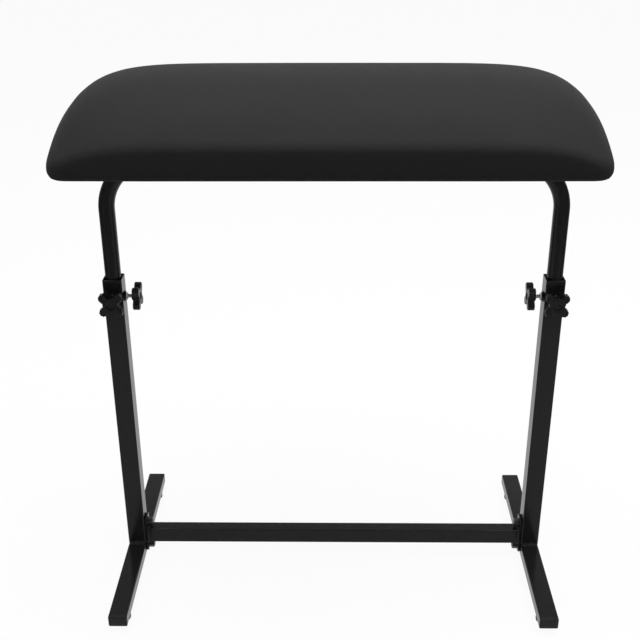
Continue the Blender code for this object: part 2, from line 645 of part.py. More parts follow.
def pad_rings(inset):
    """The crown's point, then rings over the top, down the sides and under, drawn in by an inset."""
    rings = [[(0, 0, pad_height(0, 0) - inset)]]
    edge = pad_outline(PAD_EDGE_ROUND)
    squeeze_x = 1 - inset / (PAD_LENGTH / 2)
    squeeze_y = 1 - inset / (PAD_DEPTH / 2)
    for share in PAD_TOP_RINGS:
        top = [(x * share, y * share) for x, y in edge]
        rings.append([(x * squeeze_x, y * squeeze_y, pad_height(x, y) - inset) for x, y in top])
    heights = [pad_height(x, y) - inset for x, y in edge]
    rounds = [min(PAD_EDGE_ROUND, height - PAD_TUCK_ROUND - PAD_SIDE_LEAST) for height in heights]
    for step in range(1, PAD_ROUND_STEPS + 1):
        angle = math.pi / 2 * step / PAD_ROUND_STEPS
        ring = pad_outline(inset + PAD_EDGE_ROUND * (1 - math.sin(angle)))
        fall = 1 - math.cos(angle)
        rings.append([(x, y, height - fall * edge_round)
                      for (x, y), height, edge_round in zip(ring, heights, rounds)])
    tuck = PAD_TUCK_ROUND - inset
    for step in range(PAD_TUCK_STEPS + 1):
        angle = math.pi / 2 * step / PAD_TUCK_STEPS
        ring = pad_outline(inset + tuck * (1 - math.cos(angle)))
        rings.append([(x, y, inset + tuck * (1 - math.sin(angle))) for x, y in ring])
    return rings


def lofted(name, rings, fill_last):
    """Skin a single point and the rings below it. The last ring is filled where asked."""
    bm = bmesh.new()
    loops = [[bm.verts.new(point) for point in ring] for ring in rings]
    crown_point = loops.pop(0)[0]
    count = len(loops[0])
    for i in range(count):
        following = (i + 1) % count
        bm.faces.new((crown_point, loops[0][i], loops[0][following]))
        for upper, lower in zip(loops, loops[1:]):
            bm.faces.new((upper[i], lower[i], lower[following], upper[following]))
    if fill_last:
        bm.faces.new(reversed(loops[-1]))
    return mesh_from_bmesh(name, bm)


def pad_cover():
    """Leather shell over the foam, with a hem turned in under the board."""
    rings = pad_rings(0)
    rings.append([(x, y, 0) for x, y in pad_outline(PAD_TUCK_ROUND + COVER_TURN_IN)])
    mesh = lofted("pad_cover", rings, False)
    cover = place("pad_cover", mesh, LEATHER, (PAD_SHIFT, 0, COVER_BOTTOM), smooth_angle=60)
    shell = cover.modifiers.new("thickness", "SOLIDIFY")
    shell.thickness = COVER_THICKNESS
    shell.offset = -1


def pad_foam():
    """Foam that fills the cover and wraps the board's edge."""
    mesh = lofted("pad_foam", pad_rings(COVER_THICKNESS + FIT_GAP), True)
    foam = place("pad_foam", mesh, FOAM, (PAD_SHIFT, 0, COVER_BOTTOM), smooth_angle=60)
    rebate_depth = 2 * (BOARD_THICKNESS + FIT_GAP)
    rebate = extruded("board_rebate", [flat_outline(BOARD_INSET - FIT_GAP)], rebate_depth)
    combine(foam, "DIFFERENCE", rebate, (0, 0, BOARD_BOTTOM - COVER_BOTTOM))


def pilot_holes():
    """Outlines of the screws' holes, measured from the cushion's own centre."""
    centres = [centre for side, sign in SIDES for centre in plate_holes(sign)]
    return [circle((x - PAD_SHIFT, y), SCREW_RADIUS + FIT_GAP) for x, y in centres]


def pad_board():
    """Plywood board with pilot holes for the screws."""
    holes = pilot_holes()
    mesh = extruded("pad_board", [flat_outline(BOARD_INSET)] + holes, BOARD_THICKNESS)
    place("pad_board", mesh, PLYWOOD, (PAD_SHIFT, 0, BOARD_BOTTOM + BOARD_THICKNESS / 2))


def pad_lining():
    """Dust cloth that hides the cover's hem, with holes for the screws."""
    holes = pilot_holes()
    mesh = extruded("pad_lining", [flat_outline(LINING_INSET)] + holes, LINING_THICKNESS)
    place("pad_lining", mesh, DUST_CLOTH, (PAD_SHIFT, 0, LINING_BOTTOM + LINING_THICKNESS / 2))


def main():
    for side, sign in SIDES:
        foot_tube(side, sign)
        foot_caps(side, sign)
        rubber_feet(side, sign)
        upright(side, sign)
        upright_welds(side, sign)
        crossbar_flange(side, sign)
        flange_bolts(side, sign)
        front_face = Vector((sign * UPRIGHT_X, -UPRIGHT_SIDE / 2, CLAMP_LEVEL))
        inner_face = Vector((sign * INNER_FACE_X, 0, CLAMP_LEVEL))
        clamp(side, "front", front_face, ALONG_FRONT)
        clamp(side, "inner", inner_face, INWARD[side])
        tube_plug(side, sign)
        pad_plate(side, sign)
        pad_screws(side, sign)
    crossbar()
    top_frame_tube()
    pad_cover()
    pad_foam()
    pad_board()
    pad_lining()


main()
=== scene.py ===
"""Looks of the manicure arm rest stand: its finishes and the fine shapes that the solids leave out.

Units are metres in the part's own frame: +Z up, the front faces -Y, the origin is on the floor.
"""
import math
import random

import bmesh
import bpy
from mathutils import Matrix, Vector

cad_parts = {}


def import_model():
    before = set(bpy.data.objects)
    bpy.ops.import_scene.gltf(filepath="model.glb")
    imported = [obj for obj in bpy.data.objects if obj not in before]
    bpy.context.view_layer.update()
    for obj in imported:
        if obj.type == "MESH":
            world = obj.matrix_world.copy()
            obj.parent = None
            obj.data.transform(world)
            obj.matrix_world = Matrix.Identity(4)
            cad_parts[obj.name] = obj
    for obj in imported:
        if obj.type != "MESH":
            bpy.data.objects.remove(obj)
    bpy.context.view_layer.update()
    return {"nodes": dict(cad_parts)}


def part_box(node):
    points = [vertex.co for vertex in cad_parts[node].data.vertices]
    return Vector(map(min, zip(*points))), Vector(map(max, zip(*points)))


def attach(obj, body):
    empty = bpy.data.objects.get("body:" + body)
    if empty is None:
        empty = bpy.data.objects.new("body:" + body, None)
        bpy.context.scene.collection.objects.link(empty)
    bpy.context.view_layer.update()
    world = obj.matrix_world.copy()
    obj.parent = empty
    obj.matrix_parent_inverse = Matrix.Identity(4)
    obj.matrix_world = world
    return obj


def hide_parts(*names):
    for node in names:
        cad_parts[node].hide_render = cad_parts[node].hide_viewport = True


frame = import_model()

SIDES = {"left": -1, "right": 1}
ENDS = {"front": -1, "rear": 1}
CLAMPS = ("front", "inner")
LEVELS = ("upper", "lower")

# Camera, set from straight edges of the stand
IMAGE_SIZE = 640
SENSOR_WIDTH = 36.0
CAMERA_PLACE = (-0.00025, -1.11810, 0.87950)
CAMERA_YAW = math.radians(-0.814)
CAMERA_PITCH = math.radians(25.317)
CAMERA_ROLL = math.radians(0.254)
CAMERA_FOCAL = 1019.1  # in pixels of the image

# Studio
FLOOR_SIZE = 24.0
FLOOR_WHITE = 0.80
FLOOR_GLOW = 0.94  # share of the floor's look that is plain white
AMBIENT = 0.38
SOFTBOX_SIZE = (2.2, 1.6)
SOFTBOX_PLACE = (0.25, -0.10, 2.30)
SOFTBOX_POWER = 62.0

# Cards of the studio: place, width and height, grey
FRONT_CARD = ((0.0, -0.62, 0.7625), (2.6, 1.355), 0.46)
REAR_CARD = ((0.0, 2.20, 2.60), (7.0, 3.0), 0.92)
SIDE_CARD = ((0.40, 0.03, 0.305), (0.26, 0.51), 0.26)

# Tubes and plates
SECTION_WALL = 0.0012
SECTION_CORNER = 0.0018
SECTION_STEPS = 6
RIM_ROUND = 0.00055
ROUND_STEPS = 4
PLATE_EDGE = 0.0005
FLANGE_CORNER = 0.003
PLATE_CORNER = 0.006
SCREWS_PER_PLATE = 4
PIPE_RADIUS = 0.0095
PIPE_BEND = 0.060
PIPE_SIDES = 48
PIPE_BEND_STEPS = 28

# Welds
POST_WELD_LEG = 0.0042
RAIL_WELD_LEG = 0.0026
PLATE_WELD_LEG = 0.0030
WELD_RIPPLE = 0.0019  # spacing of the ripples along a bead
WELD_RINGS = 4  # along each ripple
WELD_SINK = 0.0004  # how far a bead reaches into the faces that it joins
WELD_SIDES = 10
WELD_END = 0.35  # share of its leg that a bead has at its ends
WELD_TAPER = 6.0  # how fast a bead grows from its ends, over its length
WELD_LEAST = 0.86  # share of the leg between two ripples
WELD_CREST = 0.12  # share of the leg that a ripple adds
WELD_SPREAD = 0.04  # share of the leg that varies at random
WELD_HOLLOW = 0.28  # how far a bead's face lies inside a full round, as a share of its leg
PLATE_WELD_PLACE = 0.45  # of the tube's radius, on each side of its top

# Clamps
KNOB_LOBES = 4
KNOB_LOBE_CIRCLE = 0.0125
KNOB_LOBE_RADIUS = 0.0053
KNOB_VALLEY_RADIUS = 0.0094
KNOB_EDGE = 0.0011
KNOB_HUB_RADIUS = 0.0055
KNOB_HUB_LENGTH = 0.0022
KNOB_DISH_RADIUS = 0.0048
KNOB_DISH_DEPTH = 0.0014
KNOB_LOBE_STEPS = 24
KNOB_RIB_PITCH = 0.0038
KNOB_RIB_DEPTH = 0.00065
KNOB_RIB_POINTS = 8  # along the outline, from one rib to the next
STUD_RADIUS = 0.0025
STUD_PITCH = 0.0008
STUD_THREAD = 0.00022
STUD_SIDES = 24
STUD_RINGS_PER_TURN = 6
STUD_LEAD = 0.55  # share of its radius that a stud has at its tip
NUT_FLATS = 0.008
NUT_WELD_REACH = 0.0030  # from the nut's flats to the foot of its weld
NUT_WELD_RIPPLES = 10
NUT_WELD_SPREAD = 0.0001
NUT_WELD_SHOULDER = 0.36  # of the nut's height
NUT_WELD_TOP = 0.58
NUT_WELD_FOOT_INSIDE = 0.90  # of the nut's radius
NUT_WELD_TOP_INSIDE = 0.97
HEX_STEPS = 8
HEX_CHAMFER = math.radians(30)
HEX_CROWN = 0.47  # radius of the flat top, over the width across flats
HEX_DISH = 0.30  # radius of the dip in a bolt's head, likewise
HEX_DISH_LIP = 1.2  # radius where the dip starts, over the dip's own

# Bolts, screws and feet
BOLT_FLATS = 0.010
BOLT_SHANK_RADIUS = 0.003
BOLT_SIDES = 24
BOLT_LEAD = 0.9  # share of its radius that a bolt has near its tip
BOLT_TIP_RADIUS = BOLT_SHANK_RADIUS / 9
SCREW_SHANK_RADIUS = 0.002
SCREW_TAPER_RADIUS = 0.0018
SCREW_POINT_RADIUS = 0.0003
SCREW_POINT_LENGTH = 0.004
SCREW_HEAD_RADIUS = 0.0045
SCREW_HEAD_WALL = 0.35  # share of the head's height that is upright
SCREW_HEAD_TURNS = (25, 45, 62, 76)  # degrees up the head's dome
SCREW_HEAD_FLAT = 0.1  # of the head's radius
SCREW_SIDES = 32
SCREW_RECESS_REACH = 0.0026
SCREW_RECESS_WIDTH = 0.0009
SCREW_RECESS_DEPTH = 0.55  # of the head's height
LATHE_STEPS = 40
RUBBER_ROUND = 0.0016
RUBBER_STEM = 1 / 3.3  # of the foot's radius
RUBBER_AXIS = 1 / 8  # of the stem's radius, where its profile ends near the axis
RUBBER_GROOVE_DEPTH = 0.0007
RUBBER_GROOVE = ((0.62, 0), (0.56, 1), (0.40, 1), (0.36, 0))  # shares of the radius and of the depth
CAP_ROUND = 0.0012
CAP_CROWN = 0.0004
FIT_GAP = 0.0003  # between a cap or a rubber foot and its tube

# Cushion
PAD_CORNER = 0.024
PAD_EDGE_HEIGHT = 0.0356
PAD_CORNER_DROP = 0.0285
PAD_DROP_ALONG = 8.5
PAD_DROP_ACROSS = 1.95
PAD_CROWN = 0.0513
PAD_CROWN_ALONG = 8.4
PAD_CROWN_ACROSS = 2.59
PAD_CROWN_END = 0.714
PAD_CROWN_KEPT = 0.03
PAD_EDGE_INSET = 0.0047  # where the top starts to bend down
PAD_EDGE_FALL = 0.0080
PAD_EDGE_STEEPEST = 3.0
PAD_TUCK_ROUND = 0.005
PAD_SIDE_LEAST = 0.001
PAD_SHRINK = 0.001  # the cushion starts this much smaller and swells
PAD_VOXEL = 0.0045
PAD_TOP_RINGS = 26
PAD_CORNER_STEPS = 10
PAD_LENGTH_STEPS = 44
PAD_DEPTH_STEPS = 20
PAD_ROUND_STEPS = 8
COVER_CLOTH = {"quality": 6, "mass": 0.4, "tension_stiffness": 25, "compression_stiffness": 25,
               "shear_stiffness": 12, "bending_stiffness": 2.0, "use_pressure": True,
               "uniform_pressure_force": 4.0, "vertex_group_mass": "held"}
SWELL_FRAMES = 20
SWELL_LIMIT = 0.003
SWELL_EVENING = 30  # passes that even out the swelling along the cover
RELAX_SHARE = 0.5
RELAX_PASSES = 3
HELD_HEIGHT = 0.004  # the cover is held this far up from the board's underside

# Underside of the cushion
LINING_CORNER = 0.009
LINING_THICKNESS = 0.0008
LINING_EDGE = ((0.0, 0.0), (0.0002, 0.5), (0.0012, 1.0))  # insets and shares of the thickness
LINING_STEPS = (8, 24, 12)  # at a corner, along and across
STAPLE_INSET = 0.007
STAPLE_SPACING = 0.042
STAPLE_CROWN = 0.0100
STAPLE_WIRE = 0.0005
STAPLE_FLATNESS = 0.6  # height of the wire over its width
STAPLE_SIDES = 8
PLEATS_PER_CORNER = 7
PLEAT_LENGTH = 0.015
PLEAT_WIDTH = 0.0030
PLEAT_HEIGHT = 0.0006
PLEAT_STEPS = 8
PLEAT_START = 0.12  # how far into its rise a fold starts
PLEAT_FULLNESS = 0.6  # the lower, the rounder the fold
PLEAT_END = 0.15  # share of its size that a fold keeps at its end
PLEAT_SINK = 0.0004  # how far a fold reaches into the cushion
PLY_PERIOD = 0.0126  # of the bands that draw the plies

# Turns that point a shape's own +Z along an axis of the stand
ALONG_FRONT = Matrix.Rotation(math.pi / 2, 4, "X")
ALONG_RIGHT = Matrix.Rotation(math.pi / 2, 4, "Y")
ALONG_LEFT = Matrix.Rotation(-math.pi / 2, 4, "Y")
INWARD = {"left": ALONG_RIGHT, "right": ALONG_LEFT}
TURNED_OVER = Matrix.Rotation(math.pi, 4, "X")
UP = Vector((0, 0, 1))

# Angles in degrees from which an edge is shaded sharp
SHARP = 35
TURNED_SHARP = 50
WELD_SHARP = 60
PLEAT_SHARP = 80


# Materials

def feed(tree, node, inputs):
    """Set inputs of a node. Each is a value, or a socket to link to it."""
    for name, value in inputs.items():
        if isinstance(value, bpy.types.NodeSocket):
            tree.links.new(value, node.inputs[name])
        else:
            node.inputs[name].default_value = value


def new_node(tree, kind, inputs=None, **settings):
    """A new node with its settings and inputs."""
    made = tree.nodes.new(kind)
    for name, value in settings.items():
        setattr(made, name, value)
    feed(tree, made, inputs or {})
    return made


class Finish:
    """A Principled material that is built up node by node, with detail placed in real metres."""

    def __init__(self, slot, colour, roughness, metallic=0.0, specular=0.5):
        self.material = bpy.data.materials.new(slot + "_finish")
        self.material.use_nodes = True
        self.material["slot"] = slot
        self.tree = self.material.node_tree
        self.surface({"Base Color": (*colour, 1.0), "Roughness": roughness, "Metallic": metallic,
                      "Specular IOR Level": specular})
        self.place = self.node("ShaderNodeTexCoord").outputs["Object"]
        self.last_normal = None

    def node(self, kind, inputs=None, **settings):
        return new_node(self.tree, kind, inputs, **settings)

    def surface(self, inputs):
        """Set inputs of the Principled shader."""
        feed(self.tree, self.tree.nodes["Principled BSDF"], inputs)

    def stretched(self, scale):
        """Coordinates squeezed or drawn out along each axis."""
        return self.node("ShaderNodeMapping", {"Scale": scale, "Vector": self.place}).outputs["Vector"]

    def noise(self, size, detail=2.0, roughness=0.5, place=None):
        """Soft noise whose features are about a size across."""
        inputs = {"Scale": 1 / size, "Detail": detail, "Roughness": roughness, "Vector": place or self.place}
        return self.node("ShaderNodeTexNoise", inputs).outputs["Fac"]

    def cells(self, size, feature="F1"):
        """Distances in a pattern of cells of about a size."""
        inputs = {"Scale": 1 / size, "Vector": self.place}
        return self.node("ShaderNodeTexVoronoi", inputs, feature=feature).outputs["Distance"]

    def ramp(self, value, low, high, from_low=0.0, from_high=1.0):
        """A value carried from one range to another and kept inside it."""
        inputs = {"Value": value, "From Min": from_low, "From Max": from_high, "To Min": low, "To Max": high}
        return self.node("ShaderNodeMapRange", inputs).outputs["Result"]

    def combine(self, operation, first, second):
        """Two values or sockets put through an operation."""
        return self.node("ShaderNodeMath", {0: first, 1: second}, operation=operation).outputs["Value"]

    def colours(self, value, first, second):
        """Shift the colour between two, by a value."""
        inputs = {"Factor": value, "A": (*first, 1.0), "B": (*second, 1.0)}
        mix = self.node("ShaderNodeMix", inputs, data_type="RGBA")
        self.surface({"Base Color": mix.outputs["Result"]})

    def roughness(self, value):
        self.surface({"Roughness": value})

    def bump(self, height, depth):
        """Raise the surface by a height from 0 to 1, up to a depth in metres."""
        inputs = {"Strength": 1.0, "Distance": depth, "Height": height}
        if self.last_normal:
            inputs["Normal"] = self.last_normal
        self.last_normal = self.node("ShaderNodeBump", inputs).outputs["Normal"]
        self.surface({"Normal": self.last_normal})


def powder_coat(drawn=(1, 1, 1)):
    """Satin black powder coat with orange peel, faint handling marks and thin rub lines."""
    finish = Finish("powder_coat", (0.0118, 0.0118, 0.0121), 0.14, specular=0.135)
    smudge = finish.noise(0.045, detail=4.0)
    scuff = finish.noise(0.0016, detail=3.0, roughness=0.7, place=finish.stretched(drawn))
    worn = finish.combine("POWER", scuff, 3.0)
    finish.colours(finish.ramp(worn, 0.0, 1.0, 0.1, 0.5), (0.0110, 0.0110, 0.0113), (0.0144, 0.0144, 0.0147))
    finish.roughness(finish.ramp(finish.combine("ADD", smudge, worn), 0.11, 0.18, 0.35, 0.95))
    finish.bump(finish.noise(0.0011, detail=1.0), 0.000010)
    return finish.material


def black_plastic():
    """Moulded black plastic with a fine spark-eroded texture."""
    finish = Finish("black_plastic", (0.0055, 0.0055, 0.0057), 0.34, specular=0.19)
    finish.colours(finish.noise(0.006, detail=3.0), (0.0048, 0.0048, 0.0050), (0.0066, 0.0066, 0.0068))
    finish.roughness(finish.ramp(finish.noise(0.004, detail=4.0), 0.27, 0.44, 0.3, 0.7))
    finish.bump(finish.noise(0.00032, detail=1.0), 0.000018)
    return finish.material


def rubber():
    """Matt black rubber, slightly dusty."""
    finish = Finish("rubber", (0.0085, 0.0085, 0.0085), 0.78, specular=0.30)
    finish.colours(finish.noise(0.003, detail=5.0), (0.0070, 0.0070, 0.0070), (0.0150, 0.0148, 0.0145))
    finish.roughness(finish.ramp(finish.noise(0.002, detail=3.0), 0.70, 0.90, 0.3, 0.7))
    finish.bump(finish.noise(0.0006, detail=2.0), 0.00004)
    return finish.material


def leather():
    """Black synthetic leather with a fine pebble grain and soft creases between the pebbles."""
    finish = Finish("leather", (0.0145, 0.0145, 0.0145), 0.66, specular=0.085)
    drift = finish.noise(0.060, detail=3.0)
    finish.colours(drift, (0.0139, 0.0139, 0.0139), (0.0151, 0.0151, 0.0151))
    pebbles = finish.cells(0.0013, "SMOOTH_F1")
    creases = finish.ramp(finish.cells(0.0013, "DISTANCE_TO_EDGE"), 0.0, 1.0, 0.0, 0.10)
    finish.roughness(finish.ramp(finish.combine("ADD", drift, pebbles), 0.62, 0.72, 0.4, 1.3))
    finish.bump(finish.noise(0.012, detail=2.0), 0.00010)
    finish.bump(creases, 0.00005)
    finish.bump(finish.noise(0.00035, detail=1.0), 0.000012)
    return finish.material


def zinc():
    """Bright zinc plating with a fine grain."""
    finish = Finish("zinc", (0.60, 0.60, 0.58), 0.30, metallic=1.0)
    finish.colours(finish.noise(0.004, detail=4.0), (0.54, 0.55, 0.55), (0.66, 0.66, 0.63))
    finish.roughness(finish.ramp(finish.noise(0.0012, detail=3.0), 0.18, 0.34, 0.3, 0.7))
    finish.bump(finish.noise(0.0003, detail=1.0), 0.000008)
    return finish.material


def black_steel():
    """Blackened steel with an oily sheen."""
    finish = Finish("black_steel", (0.010, 0.010, 0.010), 0.36, specular=0.45)
    finish.colours(finish.noise(0.0025, detail=4.0), (0.0075, 0.0075, 0.0078), (0.0150, 0.0148, 0.0145))
    finish.roughness(finish.ramp(finish.noise(0.0018, detail=3.0), 0.28, 0.50, 0.3, 0.7))
    finish.bump(finish.noise(0.0004, detail=1.0), 0.000012)
    return finish.material


def plywood():
    """Bare plywood: pale face grain drawn out along the board, with thin plies on its edges."""
    finish = Finish("plywood", (0.55, 0.40, 0.24), 0.70, specular=0.3)
    grain = finish.noise(0.05, detail=6.0, roughness=0.6, place=finish.stretched((0.4, 6.0, 1.0)))
    inputs = {"Scale": 1 / PLY_PERIOD, "Vector": finish.place}
    plies = finish.node("ShaderNodeTexWave", inputs, bands_direction="Z")
    finish.colours(finish.combine("MULTIPLY", grain, finish.ramp(plies.outputs["Fac"], 0.8, 1.0)),
                   (0.42, 0.28, 0.15), (0.66, 0.50, 0.32))
    finish.roughness(finish.ramp(grain, 0.62, 0.80))
    finish.bump(grain, 0.00015)
    return finish.material


def dust_cloth():
    """Black non-woven cloth with a pressed dot pattern and loose fibres."""
    finish = Finish("dust_cloth", (0.018, 0.018, 0.018), 0.88, specular=0.15)
    fibres = finish.noise(0.0012, detail=5.0, roughness=0.75, place=finish.stretched((1.0, 2.5, 1.0)))
    finish.colours(fibres, (0.010, 0.010, 0.010), (0.034, 0.034, 0.034))
    finish.roughness(finish.ramp(fibres, 0.80, 0.95))
    dots = finish.ramp(finish.cells(0.0022), 0.0, 1.0, 0.10, 0.35)
    finish.bump(dots, 0.00012)
    finish.bump(fibres, 0.00010)
    return finish.material


POWDER_COAT = powder_coat()
PIPE_COAT = powder_coat(drawn=(1.0, 1.0, 0.06))
BLACK_PLASTIC = black_plastic()
RUBBER = rubber()
LEATHER = leather()
ZINC = zinc()
BLACK_STEEL = black_steel()
PLYWOOD = plywood()
DUST_CLOTH = dust_cloth()


# Shapes

def arc(centre, radius, start, end, steps):
    """Points on an arc, with both of its ends."""
    angles = [start + (end - start) * step / steps for step in range(steps + 1)]
    return [(centre[0] + radius * math.cos(a), centre[1] + radius * math.sin(a)) for a in angles]


def between(first, last, steps):
    """Points that divide a straight run, without its ends."""
    shares = [step / steps for step in range(1, steps)]
    return [(first[0] + (last[0] - first[0]) * s, first[1] + (last[1] - first[1]) * s) for s in shares]


def rounded_rectangle(size_x, size_y, radius, corner_steps=SECTION_STEPS, steps_x=1, steps_y=1):
    """Outline centred on the origin, anticlockwise from the right-hand side's upper corner."""
    corners = []
    for quarter, (sign_x, sign_y) in enumerate(((1, 1), (-1, 1), (-1, -1), (1, -1))):
        start = quarter * math.pi / 2
        centre = (sign_x * (size_x / 2 - radius), sign_y * (size_y / 2 - radius))
        corners.append(arc(centre, radius, start, start + math.pi / 2, corner_steps))
    outline = []
    for quarter, corner in enumerate(corners):
        following = corners[(quarter + 1) % 4]
        outline += corner + between(corner[-1], following[0], steps_x if quarter % 2 == 0 else steps_y)
    return outline


def full_turn(steps):
    """Angles that divide a full turn evenly."""
    return [2 * math.pi * step / steps for step in range(steps)]


def circle(radius, level, angles):
    """Points round Z at a height, one for each angle."""
    return [(radius * math.cos(a), radius * math.sin(a), level) for a in angles]


def level_ring(size_x, size_y, inset, level, corner, *steps):
    """Rounded rectangle at a height, drawn in on all sides."""
    outline = rounded_rectangle(size_x - 2 * inset, size_y - 2 * inset, corner, *steps)
    return [(x, y, level) for x, y in outline]


def loft(bm, rings, ends="filled"):
    """Skin rings of points in turn. The ends are filled, or joined to each other."""
    loops = [[bm.verts.new(point) for point in ring] for ring in rings]
    pairs = list(zip(loops, loops[1:]))
    if ends == "joined":
        pairs.append((loops[-1], loops[0]))
    count = len(loops[0])
    for lower, upper in pairs:
        for i in range(count):
            j = (i + 1) % count
            bm.faces.new((lower[i], lower[j], upper[j], upper[i]))
    if ends == "filled":
        bm.faces.new(reversed(loops[0]))
        bm.faces.new(loops[-1])


def lofted(rings, ends="filled"):
    """A new shape from rings of points."""
    bm = bmesh.new()
    loft(bm, rings, ends)
    return bm


def lathe(bm, profile, steps=LATHE_STEPS):
    """Turn a profile of (radius, height) points about Z. Its two ends lie near the axis and are filled."""
    angles = full_turn(steps)
    loft(bm, [circle(radius, level, angles) for radius, level in profile])


def in_scene(name, data):
    """Make an object and put it into the scene."""
    made = bpy.data.objects.new(name, data)
    bpy.context.scene.collection.objects.link(made)
    return made


def placed(name, bm):
    """Put a shape into the scene."""
    mesh = bpy.data.meshes.new(name)
    bm.to_mesh(mesh)
    bm.free()
    return in_scene(name, mesh)


def fit_out(made, finish, body, nodes):
    """Give an object its finish, the body that it rides on and the nodes that it stands for."""
    made.data.materials.append(finish)
    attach(made, body)
    if nodes:
        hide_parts(*nodes)


def piece(name, bm, finish, body, nodes=(), turn=None, sharp=SHARP):
    """Make an object that rides on a body and stands for CAD nodes."""
    bmesh.ops.recalc_face_normals(bm, faces=bm.faces)
    if turn:
        bm.transform(turn)
    made = placed(name, bm)
    made.data.shade_smooth()
    made.data.set_sharp_from_angle(angle=math.radians(sharp))
    flat = made.modifiers.new("flat faces", "WEIGHTED_NORMAL")
    flat.keep_sharp = True
    fit_out(made, finish, body, nodes)
    return made


def middle(node):
    """Centre and size of a CAD node's box."""
    low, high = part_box(node)
    return (low + high) / 2, high - low


def edge_profile(low, high, rounding):
    """(inset, height) pairs up a solid's side, rounded at both of its ends."""
    turns = [math.pi / 2 * step / ROUND_STEPS for step in range(ROUND_STEPS + 1)]
    foot = [(rounding * (1 - math.sin(a)), low + rounding * (1 - math.cos(a))) for a in turns]
    head = [(rounding * (1 - math.cos(a)), high - rounding * (1 - math.sin(a))) for a in turns]
    return foot + head


def hollow_section(size_x, size_y, length):
    """Rectangular tube along Z with rounded corners and rounded rims."""
    outer = edge_profile(-length / 2, length / 2, RIM_ROUND)
    inner = [(SECTION_WALL - inset, level) for inset, level in reversed(outer)]
    rings = []
    for inset, level in outer + inner:
        corner = max(SECTION_CORNER - inset, SECTION_CORNER / 4)
        rings.append(level_ring(size_x, size_y, inset, level, corner))
    return lofted(rings, "joined")


def plate(size_x, size_y, thickness, corner):
    """Flat plate in the XY plane with rounded corners and softened edges."""
    return lofted([level_ring(size_x, size_y, inset, level, corner - inset)
                   for inset, level in edge_profile(-thickness / 2, thickness / 2, PLATE_EDGE)])


def weld_bead(bm, start, end, first_face, second_face, leg, seed):
    """Rippled fillet bead along a straight corner. The two faces are unit vectors out of the corner."""
    rng = random.Random(seed)
    start, end = Vector(start), Vector(end)
    run = end - start
    count = max(WELD_RINGS, int(run.length / WELD_RIPPLE * WELD_RINGS))
    rings = []
    for step in range(count + 1):
        share = step / count
        ripple = abs(math.sin(math.pi * share * run.length / WELD_RIPPLE))
        taper = min(1.0, WELD_TAPER * min(share, 1 - share) + WELD_END)
        reach = leg * taper * (WELD_LEAST + WELD_CREST * ripple + rng.uniform(-WELD_SPREAD, WELD_SPREAD))
        centre = start + run * share
        ring = []
        for side in range(WELD_SIDES + 1):
            angle = math.pi / 2 * side / WELD_SIDES
            bulge = reach * (1 - WELD_HOLLOW * (1 - abs(math.cos(2 * angle))))
            out = first_face * math.cos(angle) + second_face * math.sin(angle)
            ring.append(centre + out * bulge)
        ring.append(centre - (first_face + second_face) * WELD_SINK)
        rings.append(ring)
    loft(bm, rings)


# Base

def foot_rails():
    """Foot tubes, end caps and rubber feet."""
    for side in SIDES:
        node = side + "_foot_tube"
        centre, size = middle(node)
        turn = Matrix.Translation(centre) @ ALONG_FRONT
        piece(side + "_foot_rail", hollow_section(size.x, size.z, size.y), POWDER_COAT, "base", [node], turn)
        for end, end_sign in ENDS.items():
            end_cap(side + "_" + end, end_sign, centre, size)
            rubber_foot(side, end)


def end_cap(name, end_sign, rail_centre, rail_size):
    """Plastic cap with a rounded rim, a slightly crowned face and a plug in the tube."""
    node = name + "_foot_cap"
    low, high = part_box(node)
    outside = low.y if end_sign < 0 else high.y
    rail_end = rail_centre.y + end_sign * rail_size.y / 2
    flange = abs(outside - rail_end)
    plug_length = (high - low).y - flange
    plug_inset = SECTION_WALL + FIT_GAP / 2
    levels = [(plug_inset + FIT_GAP, -plug_length), (plug_inset, FIT_GAP - plug_length), (plug_inset, 0),
              (0, FIT_GAP / 2)]
    rim = edge_profile(0, flange - CAP_CROWN, CAP_ROUND)[ROUND_STEPS + 1:]
    levels += [(inset, max(level, FIT_GAP)) for inset, level in rim]
    levels.append((rail_size.z / 3, flange))
    rings = []
    for inset, level in levels:
        corner = max(SECTION_CORNER - inset / 2, SECTION_CORNER / 3)
        rings.append(level_ring(rail_size.x, rail_size.z, inset, level, corner))
    facing = ALONG_FRONT if end_sign < 0 else ALONG_FRONT @ TURNED_OVER
    turn = Matrix.Translation((rail_centre.x, rail_end, rail_centre.z)) @ facing
    piece(name + "_end_cap", lofted(rings), BLACK_PLASTIC, "base", [node], turn)


def rubber_foot(side, end):
    """Rubber foot with a rounded rim, a grip ring and a push-in stem."""
    name = side + "_" + end
    node = name + "_rubber_foot"
    low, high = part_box(node)
    centre = (low + high) / 2
    radius = (high.x - low.x) / 2
    stem = radius * RUBBER_STEM
    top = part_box(side + "_foot_tube")[0].z - FIT_GAP
    rim = radius - RUBBER_ROUND
    profile = [(stem * RUBBER_AXIS, high.z), (stem, high.z), (stem, top)]
    profile += arc((rim, top - RUBBER_ROUND), RUBBER_ROUND, math.pi / 2, 0, ROUND_STEPS)
    profile += arc((rim, RUBBER_ROUND), RUBBER_ROUND, 0, -math.pi / 2, ROUND_STEPS)
    profile += [(radius * share, RUBBER_GROOVE_DEPTH * deep) for share, deep in RUBBER_GROOVE]
    profile.append((stem * RUBBER_AXIS, 0))
    bm = bmesh.new()
    lathe(bm, profile)
    piece(name + "_rubber_bumper", bm, RUBBER, "base", [node], Matrix.Translation((centre.x, centre.y, 0)))


